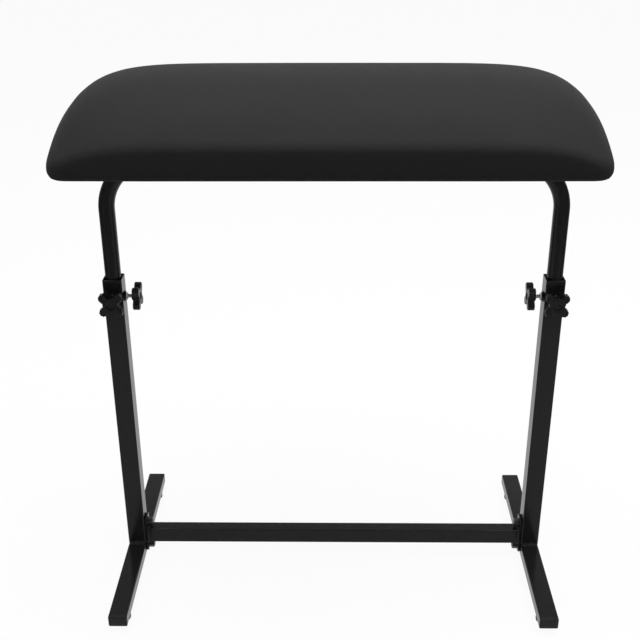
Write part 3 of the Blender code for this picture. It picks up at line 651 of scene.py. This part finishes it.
def posts():
    """Square uprights and the weld beads at their feet."""
    for side in SIDES:
        node = side + "_upright"
        centre, size = middle(node)
        turn = Matrix.Translation(centre)
        piece(side + "_post", hollow_section(size.x, size.y, size.z), POWDER_COAT, "base", [node], turn)
        foot_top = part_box(side + "_foot_tube")[1].z
        half = size.x / 2 - SECTION_CORNER / 2
        for end, end_sign in ENDS.items():
            face = centre.y + end_sign * size.y / 2
            start = (centre.x - half, face, foot_top)
            stop = (centre.x + half, face, foot_top)
            bm = bmesh.new()
            weld_bead(bm, start, stop, Vector((0, end_sign, 0)), UP, POST_WELD_LEG, side + end)
            weld = side + "_upright_" + end + "_weld"
            piece(side + "_" + end + "_post_weld", bm, POWDER_COAT, "base", [weld], sharp=WELD_SHARP)


def lower_rail():
    """Crossbar with its end plates, the welds between them and the bolts."""
    centre, size = middle("crossbar")
    turn = Matrix.Translation(centre) @ ALONG_RIGHT
    piece("lower_rail", hollow_section(size.z, size.y, size.x), POWDER_COAT, "base", ["crossbar"], turn)
    for side, sign in SIDES.items():
        node = side + "_crossbar_flange"
        flange_centre, flange_size = middle(node)
        turn = Matrix.Translation(flange_centre) @ ALONG_RIGHT
        bm = plate(flange_size.z, flange_size.y, flange_size.x, FLANGE_CORNER)
        piece(side + "_rail_flange", bm, POWDER_COAT, "base", [node], turn)
        rail_welds(side, sign, centre, size)
        for level in LEVELS:
            hex_bolt(side, level)


def rail_welds(side, sign, centre, size):
    """Bead round the end of the crossbar, on the end plate."""
    inward = Vector((-sign, 0, 0))
    face = centre.x + sign * size.x / 2
    bm = bmesh.new()
    for axis, across, depth, height in ((1, 2, size.y, size.z), (2, 1, size.z, size.y)):
        for direction in (-1, 1):
            out = Vector((0, 0, 0))
            out[axis] = direction
            start = Vector((face, 0, 0))
            start[axis] = centre[axis] + direction * depth / 2
            stop = start.copy()
            start[across] = centre[across] - height / 2
            stop[across] = centre[across] + height / 2
            weld_bead(bm, start, stop, out, inward, RAIL_WELD_LEG, side + str(axis) + str(direction))
    piece(side + "_rail_weld", bm, POWDER_COAT, "base", sharp=WELD_SHARP)


def hexagon_radius(angle, flats):
    """Distance from a hexagon's centre to its edge, at an angle."""
    sector = math.pi / 3
    offset = (angle + sector / 2) % sector - sector / 2
    return flats / 2 / math.cos(offset)


def hex_prism(bm, flats, low, high, bore=0.0):
    """Hexagonal head or nut with chamfered corners, along Z."""
    angles = full_turn(6 * HEX_STEPS)
    foot, head = [], []
    for a in angles:
        reach = hexagon_radius(a, flats)
        fall = (reach - flats / 2) * math.tan(HEX_CHAMFER)
        foot += circle(reach, low, [a])
        head += circle(reach, high - fall - PLATE_EDGE / 2, [a])
    rings = [foot, head, circle(flats * HEX_CROWN, high, angles)]
    if bore:
        loft(bm, rings + [circle(bore, high, angles), circle(bore, low, angles)], "joined")
    else:
        dish = flats * HEX_DISH
        rings.append(circle(dish * HEX_DISH_LIP, high, angles))
        rings.append(circle(dish, high - PLATE_EDGE, angles))
        loft(bm, rings)


def hex_bolt(side, level):
    """Black hexagon bolt through the flange, with its shank in the rivet nut."""
    node = side + "_" + level + "_flange_bolt"
    low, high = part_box(node)
    centre = (low + high) / 2
    flange_low, flange_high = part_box(side + "_crossbar_flange")
    seat = flange_high.x if side == "left" else flange_low.x
    head_top = high.x if side == "left" else low.x
    shank_tip = low.x if side == "left" else high.x
    depth = abs(shank_tip - seat)
    bm = bmesh.new()
    hex_prism(bm, BOLT_FLATS, 0, abs(head_top - seat))
    lathe(bm, [(BOLT_TIP_RADIUS, -depth), (BOLT_SHANK_RADIUS * BOLT_LEAD, PLATE_EDGE - depth),
               (BOLT_SHANK_RADIUS, 2 * PLATE_EDGE - depth), (BOLT_SHANK_RADIUS, PLATE_EDGE),
               (BOLT_TIP_RADIUS, PLATE_EDGE)], BOLT_SIDES)
    turn = Matrix.Translation((seat, centre.y, centre.z)) @ INWARD[side]
    piece(side + "_" + level + "_hex_bolt", bm, BLACK_STEEL, "base", [node], turn)


# Clamps

def knob_outline():
    """Lobes and valleys joined by tangent arcs."""
    spread = math.pi / KNOB_LOBES
    step_in = KNOB_LOBE_RADIUS - KNOB_VALLEY_RADIUS
    lean = 2 * (KNOB_LOBE_CIRCLE * math.cos(spread) + step_in)
    valley_circle = (KNOB_LOBE_CIRCLE ** 2 - step_in ** 2) / lean
    valley_round = valley_circle - KNOB_VALLEY_RADIUS
    rise = valley_circle * math.sin(spread)
    run = valley_circle * math.cos(spread) - KNOB_LOBE_CIRCLE
    tangent = math.atan2(rise, run)
    outline = []
    for lobe in range(KNOB_LOBES):
        facing = spread + 2 * spread * lobe
        centre = (KNOB_LOBE_CIRCLE * math.cos(facing), KNOB_LOBE_CIRCLE * math.sin(facing))
        outline += arc(centre, KNOB_LOBE_RADIUS, facing - tangent, facing + tangent, KNOB_LOBE_STEPS)
        dip = facing + spread
        centre = (valley_circle * math.cos(dip), valley_circle * math.sin(dip))
        start = facing + tangent + math.pi
        end = dip + spread - tangent + math.pi
        outline += arc(centre, valley_round, start, end, KNOB_LOBE_STEPS)[1:-1]
    return outline


def evenly(outline, spacing, group):
    """A closed outline as evenly spaced points, a whole number of groups of about a spacing each."""
    corners = [Vector(point) for point in outline] + [Vector(outline[0])]
    reach = [0.0]
    for first, second in zip(corners, corners[1:]):
        reach.append(reach[-1] + (second - first).length)
    count = round(reach[-1] / spacing) * group
    points = []
    edge = 0
    for step in range(count):
        goal = reach[-1] * step / count
        while reach[edge + 1] < goal:
            edge += 1
        share = (goal - reach[edge]) / (reach[edge + 1] - reach[edge])
        points.append(corners[edge].lerp(corners[edge + 1], share))
    return points


def drawn_in(outline, insets):
    """An outline moved inwards along its own normals, by an inset for each point."""
    moved = []
    for i, (point, inset) in enumerate(zip(outline, insets)):
        along = (outline[(i + 1) % len(outline)] - outline[i - 1]).normalized()
        moved.append((point.x - along.y * inset, point.y + along.x * inset))
    return moved


def star_knob(thickness):
    """Four-lobed knob along Z: hub at the bottom, ribbed lobes and a dished face."""
    outline = evenly(knob_outline(), KNOB_RIB_PITCH, KNOB_RIB_POINTS)
    turns = [math.atan2(y, x) for x, y in outline]
    waves = [0.5 - 0.5 * math.cos(2 * math.pi * i / KNOB_RIB_POINTS) for i in range(len(outline))]
    back = KNOB_HUB_LENGTH
    face = KNOB_HUB_LENGTH + thickness
    bore = STUD_RADIUS + STUD_THREAD
    lip = KNOB_EDGE / 2
    deep = face - KNOB_DISH_DEPTH
    hub = [(bore, KNOB_EDGE), (bore, 0), (KNOB_HUB_RADIUS - lip, 0), (KNOB_HUB_RADIUS, lip),
           (KNOB_HUB_RADIUS, back - lip), (KNOB_HUB_RADIUS + KNOB_EDGE / 3, back)]
    dish = [(KNOB_DISH_RADIUS + lip, face), (KNOB_DISH_RADIUS, face - lip / 2),
            (KNOB_DISH_RADIUS - lip / 2, deep), (KNOB_DISH_RADIUS - 2 * lip, deep - lip / 4),
            (KNOB_DISH_RADIUS / 3, deep)]
    rings = [circle(radius, level, turns) for radius, level in hub]
    for inset, level in edge_profile(back, face, KNOB_EDGE):
        depth = KNOB_RIB_DEPTH * (1 - inset / KNOB_EDGE)
        insets = [inset + depth * wave for wave in waves]
        rings.append([(x, y, level) for x, y in drawn_in(outline, insets)])
    return lofted(rings + [circle(radius, level, turns) for radius, level in dish])


def threaded_stud(length):
    """Stud along Z with a rolled thread and a lead at its tip."""
    rings = []
    count = int(length / STUD_PITCH * STUD_RINGS_PER_TURN)
    for step in range(count + 1):
        level = length * step / count
        lead = min(1.0, STUD_LEAD + level / (2 * STUD_PITCH))
        ring = []
        for side, angle in enumerate(full_turn(STUD_SIDES)):
            phase = (level / STUD_PITCH - side / STUD_SIDES) % 1.0
            crest = 1 - abs(2 * phase - 1)
            ring += circle((STUD_RADIUS - STUD_THREAD * (1 - crest)) * lead, level, [angle])
        rings.append(ring)
    return lofted(rings)


def weld_nut(height):
    """Chamfered nut along Z."""
    bm = bmesh.new()
    hex_prism(bm, NUT_FLATS, 0, height, STUD_RADIUS + STUD_THREAD)
    return bm


def nut_weld(height, seed):
    """Rippled weld round a nut's foot."""
    rng = random.Random(seed)
    under, foot, shoulder, top = [], [], [], []
    for a in full_turn(6 * HEX_STEPS):
        nut = hexagon_radius(a, NUT_FLATS)
        ripple = WELD_LEAST + (1 - WELD_LEAST) * abs(math.sin(NUT_WELD_RIPPLES / 2 * a))
        reach = NUT_FLATS / 2 + NUT_WELD_REACH * ripple + rng.uniform(-NUT_WELD_SPREAD, NUT_WELD_SPREAD)
        under += circle(nut * NUT_WELD_FOOT_INSIDE, -WELD_SINK, [a])
        foot += circle(reach, -WELD_SINK, [a])
        shoulder += circle((nut + reach) / 2, height * NUT_WELD_SHOULDER, [a])
        top += circle(nut * NUT_WELD_TOP_INSIDE, height * NUT_WELD_TOP, [a])
    return lofted([under, foot, shoulder, top], "joined")


def set_along(node, facing):
    """Length of a CAD node in a direction, and the turn that stands a shape on its near end."""
    outward = facing @ UP
    centre, size = middle(node)
    length = abs(size.dot(outward))
    return length, Matrix.Translation(centre - outward * length / 2) @ facing


def clamps():
    """Weld nuts on the uprights, with threaded studs and star knobs on their own bodies."""
    for side in SIDES:
        for position in CLAMPS:
            name = side + "_" + position
            facing = ALONG_FRONT if position == "front" else INWARD[side]

            node = name + "_clamp_nut"
            height, turn = set_along(node, facing)
            piece(name + "_weld_nut", weld_nut(height), ZINC, "base", [node], turn, TURNED_SHARP)
            piece(name + "_nut_weld", nut_weld(height, name), POWDER_COAT, "base", (), turn, TURNED_SHARP)

            node = name + "_clamp_stud"
            length, turn = set_along(node, facing)
            stud = threaded_stud(length)
            piece(name + "_threaded_stud", stud, ZINC, name + "_stud", [node], turn, WELD_SHARP)

            node = name + "_clamp_knob"
            depth, turn = set_along(node, facing)
            knob = star_knob(depth - KNOB_HUB_LENGTH)
            piece(name + "_star_knob", knob, BLACK_PLASTIC, name + "_knob", [node], turn, TURNED_SHARP)


# Upper frame

def bent_tube():
    """Round tube bent to an inverted U, with a wall at its open lower ends."""
    low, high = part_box("top_frame_tube")
    leg = high.x - PIPE_RADIUS
    run = high.z - PIPE_RADIUS
    bend_x = leg - PIPE_BEND
    bend_z = run - PIPE_BEND
    path = [(-leg, low.z)]
    path += arc((-bend_x, bend_z), PIPE_BEND, math.pi, math.pi / 2, PIPE_BEND_STEPS)
    path += arc((bend_x, bend_z), PIPE_BEND, math.pi / 2, 0, PIPE_BEND_STEPS)
    path.append((leg, low.z))
    angles = full_turn(PIPE_SIDES)

    def skin(radius):
        rings = []
        for i, (x, z) in enumerate(path):
            before = Vector(path[max(i - 1, 0)])
            after = Vector(path[min(i + 1, len(path) - 1)])
            along = (after - before).normalized()
            across = Vector((-along.y, 0, along.x))
            centre = Vector((x, 0, z))
            rings.append([centre + (across * math.cos(a) + Vector((0, 1, 0)) * math.sin(a)) * radius
                          for a in angles])
        return rings

    rings = skin(PIPE_RADIUS) + list(reversed(skin(PIPE_RADIUS - SECTION_WALL)))
    piece("bent_tube", lofted(rings, "joined"), PIPE_COAT, "upper_frame", ["top_frame_tube"])


def support_plates():
    """Plates under the cushion, their welds on the tube and their screws."""
    for side in SIDES:
        node = side + "_pad_plate"
        centre, size = middle(node)
        bm = plate(size.x, size.y, size.z, PLATE_CORNER)
        piece(side + "_support_plate", bm, POWDER_COAT, "upper_frame", [node], Matrix.Translation(centre))
        bm = bmesh.new()
        under = centre.z - size.z / 2
        half = size.x / 2 - PLATE_CORNER
        for end, end_sign in ENDS.items():
            contact = end_sign * PIPE_RADIUS * PLATE_WELD_PLACE
            start = (centre.x - half, contact, under)
            stop = (centre.x + half, contact, under)
            out = Vector((0, end_sign, 0))
            weld_bead(bm, start, stop, out, -UP, PLATE_WELD_LEG, side + end + "plate")
        piece(side + "_plate_weld", bm, POWDER_COAT, "upper_frame", sharp=WELD_SHARP)
        for number in range(1, SCREWS_PER_PLATE + 1):
            plate_screw(side, number)


def plate_screw(side, number):
    """Pan-head screw with a cross recess, seen from below."""
    node = side + "_pad_screw_" + str(number)
    low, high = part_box(node)
    centre = (low + high) / 2
    plate_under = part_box(side + "_pad_plate")[0].z
    head = plate_under - low.z
    tip = plate_under - high.z
    wall = head * SCREW_HEAD_WALL
    profile = [(SCREW_POINT_RADIUS, tip), (SCREW_TAPER_RADIUS, tip + SCREW_POINT_LENGTH),
               (SCREW_SHANK_RADIUS, 0), (SCREW_HEAD_RADIUS, 0), (SCREW_HEAD_RADIUS, wall)]
    for degrees in SCREW_HEAD_TURNS:
        angle = math.radians(degrees)
        profile.append((SCREW_HEAD_RADIUS * math.cos(angle), wall + (head - wall) * math.sin(angle)))
    profile.append((SCREW_HEAD_RADIUS * SCREW_HEAD_FLAT, head))
    bm = bmesh.new()
    lathe(bm, profile, SCREW_SIDES)
    turn = Matrix.Translation((centre.x, centre.y, plate_under)) @ TURNED_OVER
    screw = piece(side + "_plate_screw_" + str(number), bm, ZINC, "upper_frame", [node], turn)
    cutter = bmesh.new()
    recess = head * SCREW_RECESS_DEPTH
    slot = (SCREW_RECESS_REACH, SCREW_RECESS_WIDTH)
    for half_x, half_y in (slot, reversed(slot)):
        box = bmesh.ops.create_cube(cutter, size=1.0)
        bmesh.ops.scale(cutter, verts=box["verts"], vec=(2 * half_x, 2 * half_y, 2 * recess))
        bmesh.ops.translate(cutter, verts=box["verts"], vec=(centre.x, centre.y, low.z))
    cut(screw, cutter)


def apply_modifiers(made):
    """Turn what an object's modifiers make into its own mesh."""
    evaluated = made.evaluated_get(bpy.context.evaluated_depsgraph_get())
    made.data = bpy.data.meshes.new_from_object(evaluated)
    made.modifiers.clear()


def cut(target, cutter):
    """Cut a tool out of a piece and drop the tool."""
    tool = placed("tool", cutter)
    boolean = target.modifiers.new("recess", "BOOLEAN")
    boolean.operation = "DIFFERENCE"
    boolean.use_self = True
    boolean.object = tool
    apply_modifiers(target)
    bpy.data.objects.remove(tool)


# Cushion

def pad_outline(size, inset):
    """Outline of the cushion from above, drawn in evenly."""
    return rounded_rectangle(size.x - 2 * inset, size.y - 2 * inset, PAD_CORNER - inset, PAD_CORNER_STEPS,
                             PAD_LENGTH_STEPS, PAD_DEPTH_STEPS)


def pad_height(size, x, y):
    """Height of the cushion's top above its underside."""
    along = min(abs(x) / (size.x / 2), 1)
    across = min(abs(y) / (size.y / 2), 1)
    drop = PAD_CORNER_DROP * along ** PAD_DROP_ALONG * across ** PAD_DROP_ACROSS
    ends = (1 - (1 - PAD_CROWN_KEPT) * along ** PAD_CROWN_ALONG) ** PAD_CROWN_END
    return PAD_EDGE_HEIGHT - drop + PAD_CROWN * ends * (1 - across ** PAD_CROWN_ACROSS)


def pad_form(size):
    """Closed skin of the cushion, a little smaller than it ends up."""
    edge = [Vector(point) for point in pad_outline(size, PAD_EDGE_INSET)]
    side = [Vector(point) for point in pad_outline(size, PAD_SHRINK)]
    rings = []
    for ring in range(1, PAD_TOP_RINGS + 1):
        share = ring / PAD_TOP_RINGS
        rings.append([(x * share, y * share, pad_height(size, x * share, y * share) - PAD_SHRINK)
                      for x, y in edge])
    bends = [edge_bend(size, inner, outer) for inner, outer in zip(edge, side)]
    for step in range(1, PAD_ROUND_STEPS + 1):
        rings.append([bent(bend, step / PAD_ROUND_STEPS) for bend in bends])
    for step in range(PAD_ROUND_STEPS + 1):
        angle = math.pi / 2 * step / PAD_ROUND_STEPS
        outline = pad_outline(size, PAD_SHRINK + PAD_TUCK_ROUND * (1 - math.cos(angle)))
        rings.append([(x, y, PAD_TUCK_ROUND * (1 - math.sin(angle))) for x, y in outline])
    return lofted(rings)


def edge_bend(size, inner, outer):
    """Three points between which the cover bends from the slope of the top to its upright side."""
    height = pad_height(size, *inner) - PAD_SHRINK
    out = outer - inner
    before = inner - out
    fall = pad_height(size, *before) - PAD_SHRINK - height
    fall = min(max(fall, 0.0), PAD_EDGE_STEEPEST * out.length)
    knee = max(height - fall, PAD_TUCK_ROUND + 3 * PAD_SIDE_LEAST)
    foot = max(knee - PAD_EDGE_FALL, PAD_TUCK_ROUND + PAD_SIDE_LEAST)
    return (*inner, height), (*outer, knee), (*outer, foot)


def bent(bend, share):
    """Point on the soft curve that three points draw."""
    first, knee, last = (Vector(point) for point in bend)
    return first.lerp(knee, share).lerp(knee.lerp(last, share), share)


def remeshed(made):
    """Give an object an even skin of small squares."""
    remesh = made.modifiers.new("even", "REMESH")
    remesh.mode = "VOXEL"
    remesh.voxel_size = PAD_VOXEL
    apply_modifiers(made)


def swell(made, bottom):
    """Blow the cover up gently against its own tension, held along its underside.

    The foam backs the cover, so it only moves out, along its own normals and up to a limit.
    """
    start = [(v.co.copy(), v.normal.copy()) for v in made.data.vertices]
    held = made.vertex_groups.new(name="held")
    held.add([v.index for v in made.data.vertices if v.co.z < bottom + HELD_HEIGHT], 1.0, "REPLACE")
    cloth = made.modifiers.new("swell", "CLOTH")
    for name, value in COVER_CLOTH.items():
        setattr(cloth.settings, name, value)
    cloth.settings.effector_weights.gravity = 0
    cloth.point_cache.frame_start = 1
    cloth.point_cache.frame_end = SWELL_FRAMES
    scene = bpy.context.scene
    for moment in range(1, SWELL_FRAMES + 1):
        scene.frame_set(moment)
    apply_modifiers(made)
    rises = []
    for vertex, (before, outward) in zip(made.data.vertices, start):
        rise = (vertex.co - before).dot(outward)
        rises.append(min(max(rise, 0.0), SWELL_LIMIT))
    rises = evened_out(rises, [tuple(edge.vertices) for edge in made.data.edges])
    for vertex, (before, outward), rise in zip(made.data.vertices, start, rises):
        vertex.co = before + outward * rise
    scene.frame_set(1)


def evened_out(values, edges):
    """Values of the points of a mesh, each drawn several times towards those of its neighbours."""
    for step in range(SWELL_EVENING):
        totals = list(values)
        counts = [1] * len(values)
        for first, second in edges:
            totals[first] += values[second]
            totals[second] += values[first]
            counts[first] += 1
            counts[second] += 1
        values = [total / count for total, count in zip(totals, counts)]
    return values


def cushion():
    """Crowned leather cushion over its foam, drawn in under the board."""
    centre, size = middle("pad_cover")
    bottom = centre.z - size.z / 2
    bm = pad_form(size)
    bmesh.ops.recalc_face_normals(bm, faces=bm.faces)
    bm.transform(Matrix.Translation((centre.x, centre.y, bottom)))
    made = placed("cushion", bm)
    remeshed(made)
    swell(made, bottom)
    smooth = made.modifiers.new("relaxed", "SMOOTH")
    smooth.factor = RELAX_SHARE
    smooth.iterations = RELAX_PASSES
    subdivision = made.modifiers.new("fine", "SUBSURF")
    subdivision.levels = 1
    subdivision.render_levels = 1
    made.data.shade_smooth()
    fit_out(made, LEATHER, "upper_frame", ["pad_cover", "pad_foam"])


def dust_cover():
    """Thin cloth under the cushion, pulled tight between its staples."""
    centre, size = middle("pad_lining")
    rings = []
    for inset, share in LINING_EDGE:
        level = -LINING_THICKNESS * share
        rings.append(level_ring(size.x, size.y, inset, level, LINING_CORNER - inset, *LINING_STEPS))
    turn = Matrix.Translation((centre.x, centre.y, centre.z + size.z / 2))
    made = piece("dust_cover", lofted(rings), DUST_CLOTH, "upper_frame", ["pad_lining"], turn)
    staples(centre, size)


def staples(centre, size):
    """Wire staples round the edge of the dust cover."""
    length, depth = size.x - 2 * STAPLE_INSET, size.y - 2 * STAPLE_INSET
    corners = [Vector(point) for point in rounded_rectangle(length, depth, LINING_CORNER, LINING_STEPS[0])]
    under = centre.z - size.z / 2
    bm = bmesh.new()
    for i, first in enumerate(corners):
        second = corners[(i + 1) % len(corners)]
        run = second - first
        if run.length < STAPLE_SPACING:
            continue
        count = int(run.length / STAPLE_SPACING)
        for step in range(count):
            spot = centre.to_2d() + first + run * (step + 0.5) / count
            staple(bm, spot, run.normalized(), under)
    piece("dust_cover_staples", bm, ZINC, "upper_frame")


def staple(bm, spot, along, under):
    """One staple: a flat crown with its legs turned up into the board."""
    half = STAPLE_CROWN / 2
    leg = [(half, 2 * STAPLE_WIRE, 0), (half, 0, math.pi / 4),
           (half - STAPLE_WIRE, -STAPLE_WIRE, math.pi / 2)]
    path = [(-1, *point) for point in leg] + [(1, *point) for point in reversed(leg)]
    across = Vector((-along.y, along.x))
    rings = []
    for sign, reach, rise, bend in path:
        ring = []
        for angle in full_turn(STAPLE_SIDES):
            side = STAPLE_WIRE * math.cos(angle)
            lift = STAPLE_WIRE * STAPLE_FLATNESS * math.sin(angle)
            flat = spot + along * sign * (reach - lift * math.cos(bend)) + across * side
            ring.append((flat.x, flat.y, under + rise + lift * math.sin(bend)))
        rings.append(ring)
    loft(bm, rings)


def corner_pleats():
    """Small folds where the leather is gathered under the cushion's corners."""
    centre, size = middle("pad_cover")
    bottom = centre.z - size.z / 2
    reach = PAD_CORNER - 2 * PAD_TUCK_ROUND
    bm = bmesh.new()
    for sign_x in (-1, 1):
        for sign_y in (-1, 1):
            hub = Vector((sign_x * (size.x / 2 - PAD_CORNER), sign_y * (size.y / 2 - PAD_CORNER), 0))
            for fold in range(PLEATS_PER_CORNER):
                angle = math.pi / 2 * (fold + 0.5) / PLEATS_PER_CORNER
                out = Vector((sign_x * math.cos(angle), sign_y * math.sin(angle), 0))
                pleat(bm, centre + hub + out * reach, out, bottom)
    piece("cushion_corner_pleats", bm, LEATHER, "upper_frame", sharp=PLEAT_SHARP)


def pleat(bm, start, out, bottom):
    """One fold: a low ridge that runs inwards from the cushion's side and dies away."""
    across = Vector((-out.y, out.x, 0))
    rings = []
    for step in range(PLEAT_STEPS + 1):
        share = step / PLEAT_STEPS
        fullness = PLEAT_END
        if share + PLEAT_START < 1:
            fullness = math.sin(math.pi * (share + PLEAT_START)) ** PLEAT_FULLNESS
        spot = start - out * PLEAT_LENGTH * share
        ring = []
        for side in range(PLEAT_STEPS + 1):
            angle = math.pi * side / PLEAT_STEPS
            aside = across * PLEAT_WIDTH / 2 * fullness * math.cos(angle)
            rise = PLEAT_HEIGHT * fullness * math.sin(angle)
            ring.append((spot.x + aside.x, spot.y + aside.y, bottom + PLEAT_SINK - rise))
        rings.append(ring)
    loft(bm, rings)


# Carried-over solids

def carried_over():
    """Finishes for the solids that stay as they are, most of them out of sight."""
    finishes = {"pad_board": PLYWOOD}
    for side in SIDES:
        finishes[side + "_tube_plug"] = BLACK_PLASTIC
        for level in LEVELS:
            finishes[side + "_" + level + "_rivet_nut"] = ZINC
    for node, finish in finishes.items():
        made = frame["nodes"][node]
        made.data.materials.clear()
        made.data.materials.append(finish)


# Studio

def seen_or_mirrored(tree):
    """1 for rays that show the studio itself, straight or in a reflection."""
    light_path = tree.nodes.new("ShaderNodeLightPath")
    total = light_path.outputs["Is Camera Ray"]
    for kind in ("Is Glossy Ray", "Is Transmission Ray"):
        inputs = {0: total, 1: light_path.outputs[kind]}
        total = new_node(tree, "ShaderNodeMath", inputs, operation="ADD", use_clamp=True).outputs["Value"]
    return total


def mix_shaders(tree, share, first, second, output_kind):
    """Mix two shaders by a share, for the output of their tree."""
    mix = new_node(tree, "ShaderNodeMixShader", {"Fac": share, 1: first.outputs[0], 2: second.outputs[0]})
    new_node(tree, output_kind, {"Surface": mix.outputs["Shader"]})


def rectangle(size_x, size_y):
    """Flat sheet in the XY plane."""
    bm = bmesh.new()
    bmesh.ops.create_grid(bm, x_segments=1, y_segments=1, size=0.5)
    bmesh.ops.scale(bm, verts=bm.verts, vec=(size_x, size_y, 1))
    return bm


def floor():
    """Plain pale floor that looks white and keeps a soft shadow."""
    made = placed("floor", rectangle(FLOOR_SIZE, FLOOR_SIZE))
    material = bpy.data.materials.new("floor_white")
    material.use_nodes = True
    tree = material.node_tree
    tree.nodes.clear()
    paint = new_node(tree, "ShaderNodeBsdfDiffuse", {"Color": (FLOOR_WHITE, FLOOR_WHITE, FLOOR_WHITE, 1)})
    glow = new_node(tree, "ShaderNodeEmission", {"Strength": 1.0})
    inputs = {0: seen_or_mirrored(tree), 1: FLOOR_GLOW}
    share = new_node(tree, "ShaderNodeMath", inputs, operation="MULTIPLY")
    mix_shaders(tree, share.outputs["Value"], paint, glow, "ShaderNodeOutputMaterial")
    made.data.materials.append(material)


def world():
    """White surroundings, dimmer as a light than as a background."""
    surroundings = bpy.data.worlds.new("studio")
    bpy.context.scene.world = surroundings
    surroundings.use_nodes = True
    tree = surroundings.node_tree
    tree.nodes.clear()
    light = new_node(tree, "ShaderNodeBackground", {"Color": (1, 1, 1, 1), "Strength": AMBIENT})
    backdrop = new_node(tree, "ShaderNodeBackground", {"Color": (1, 1, 1, 1), "Strength": 1.0})
    mix_shaders(tree, seen_or_mirrored(tree), light, backdrop, "ShaderNodeOutputWorld")


def softbox():
    """Large soft lamp overhead."""
    lamp = bpy.data.lights.new("softbox", "AREA")
    lamp.shape = "RECTANGLE"
    lamp.size, lamp.size_y = SOFTBOX_SIZE
    lamp.energy = SOFTBOX_POWER
    in_scene("softbox", lamp).location = SOFTBOX_PLACE


def card(name, place, size, grey, turn=0.0, lights=True):
    """Upright card, unseen by the camera, that dims what the stand mirrors. It may leave the light."""
    made = placed(name, rectangle(*size))
    made.location = place
    made.rotation_euler = (math.pi / 2, 0, turn)
    made.visible_camera = False
    made.visible_shadow = False
    made.visible_diffuse = lights
    material = bpy.data.materials.new(name + "_grey")
    material.use_nodes = True
    tree = material.node_tree
    feed(tree, tree.nodes["Principled BSDF"],
         {"Base Color": (grey, grey, grey, 1), "Roughness": 1.0, "Specular IOR Level": 0.0})
    made.data.materials.append(material)


def camera():
    """Camera at the photograph's angle."""
    ahead = Vector((math.sin(CAMERA_YAW) * math.cos(CAMERA_PITCH),
                    math.cos(CAMERA_YAW) * math.cos(CAMERA_PITCH), -math.sin(CAMERA_PITCH)))
    level = Vector((math.cos(CAMERA_YAW), -math.sin(CAMERA_YAW), 0))
    down = ahead.cross(level)
    right = level * math.cos(CAMERA_ROLL) + down * math.sin(CAMERA_ROLL)
    up = level * math.sin(CAMERA_ROLL) - down * math.cos(CAMERA_ROLL)
    lens = bpy.data.cameras.new("camera")
    lens.sensor_width = SENSOR_WIDTH
    lens.lens = SENSOR_WIDTH * CAMERA_FOCAL / IMAGE_SIZE
    made = in_scene("camera", lens)
    axes = Matrix((right, up, -ahead)).transposed().to_4x4()
    made.matrix_world = Matrix.Translation(CAMERA_PLACE) @ axes
    bpy.context.scene.camera = made


def main():
    """Set up the studio and build every piece."""
    bpy.context.scene.view_settings.view_transform = "Standard"
    camera()
    world()
    softbox()
    card("front_card", *FRONT_CARD)
    card("rear_card", *REAR_CARD)
    (reach, back, height), size, grey = SIDE_CARD
    for side, sign in SIDES.items():
        card(side + "_card", (sign * reach, back, height), size, grey, math.pi / 2, False)
    floor()
    foot_rails()
    posts()
    lower_rail()
    clamps()
    bent_tube()
    support_plates()
    cushion()
    dust_cover()
    corner_pleats()
    carried_over()


main()
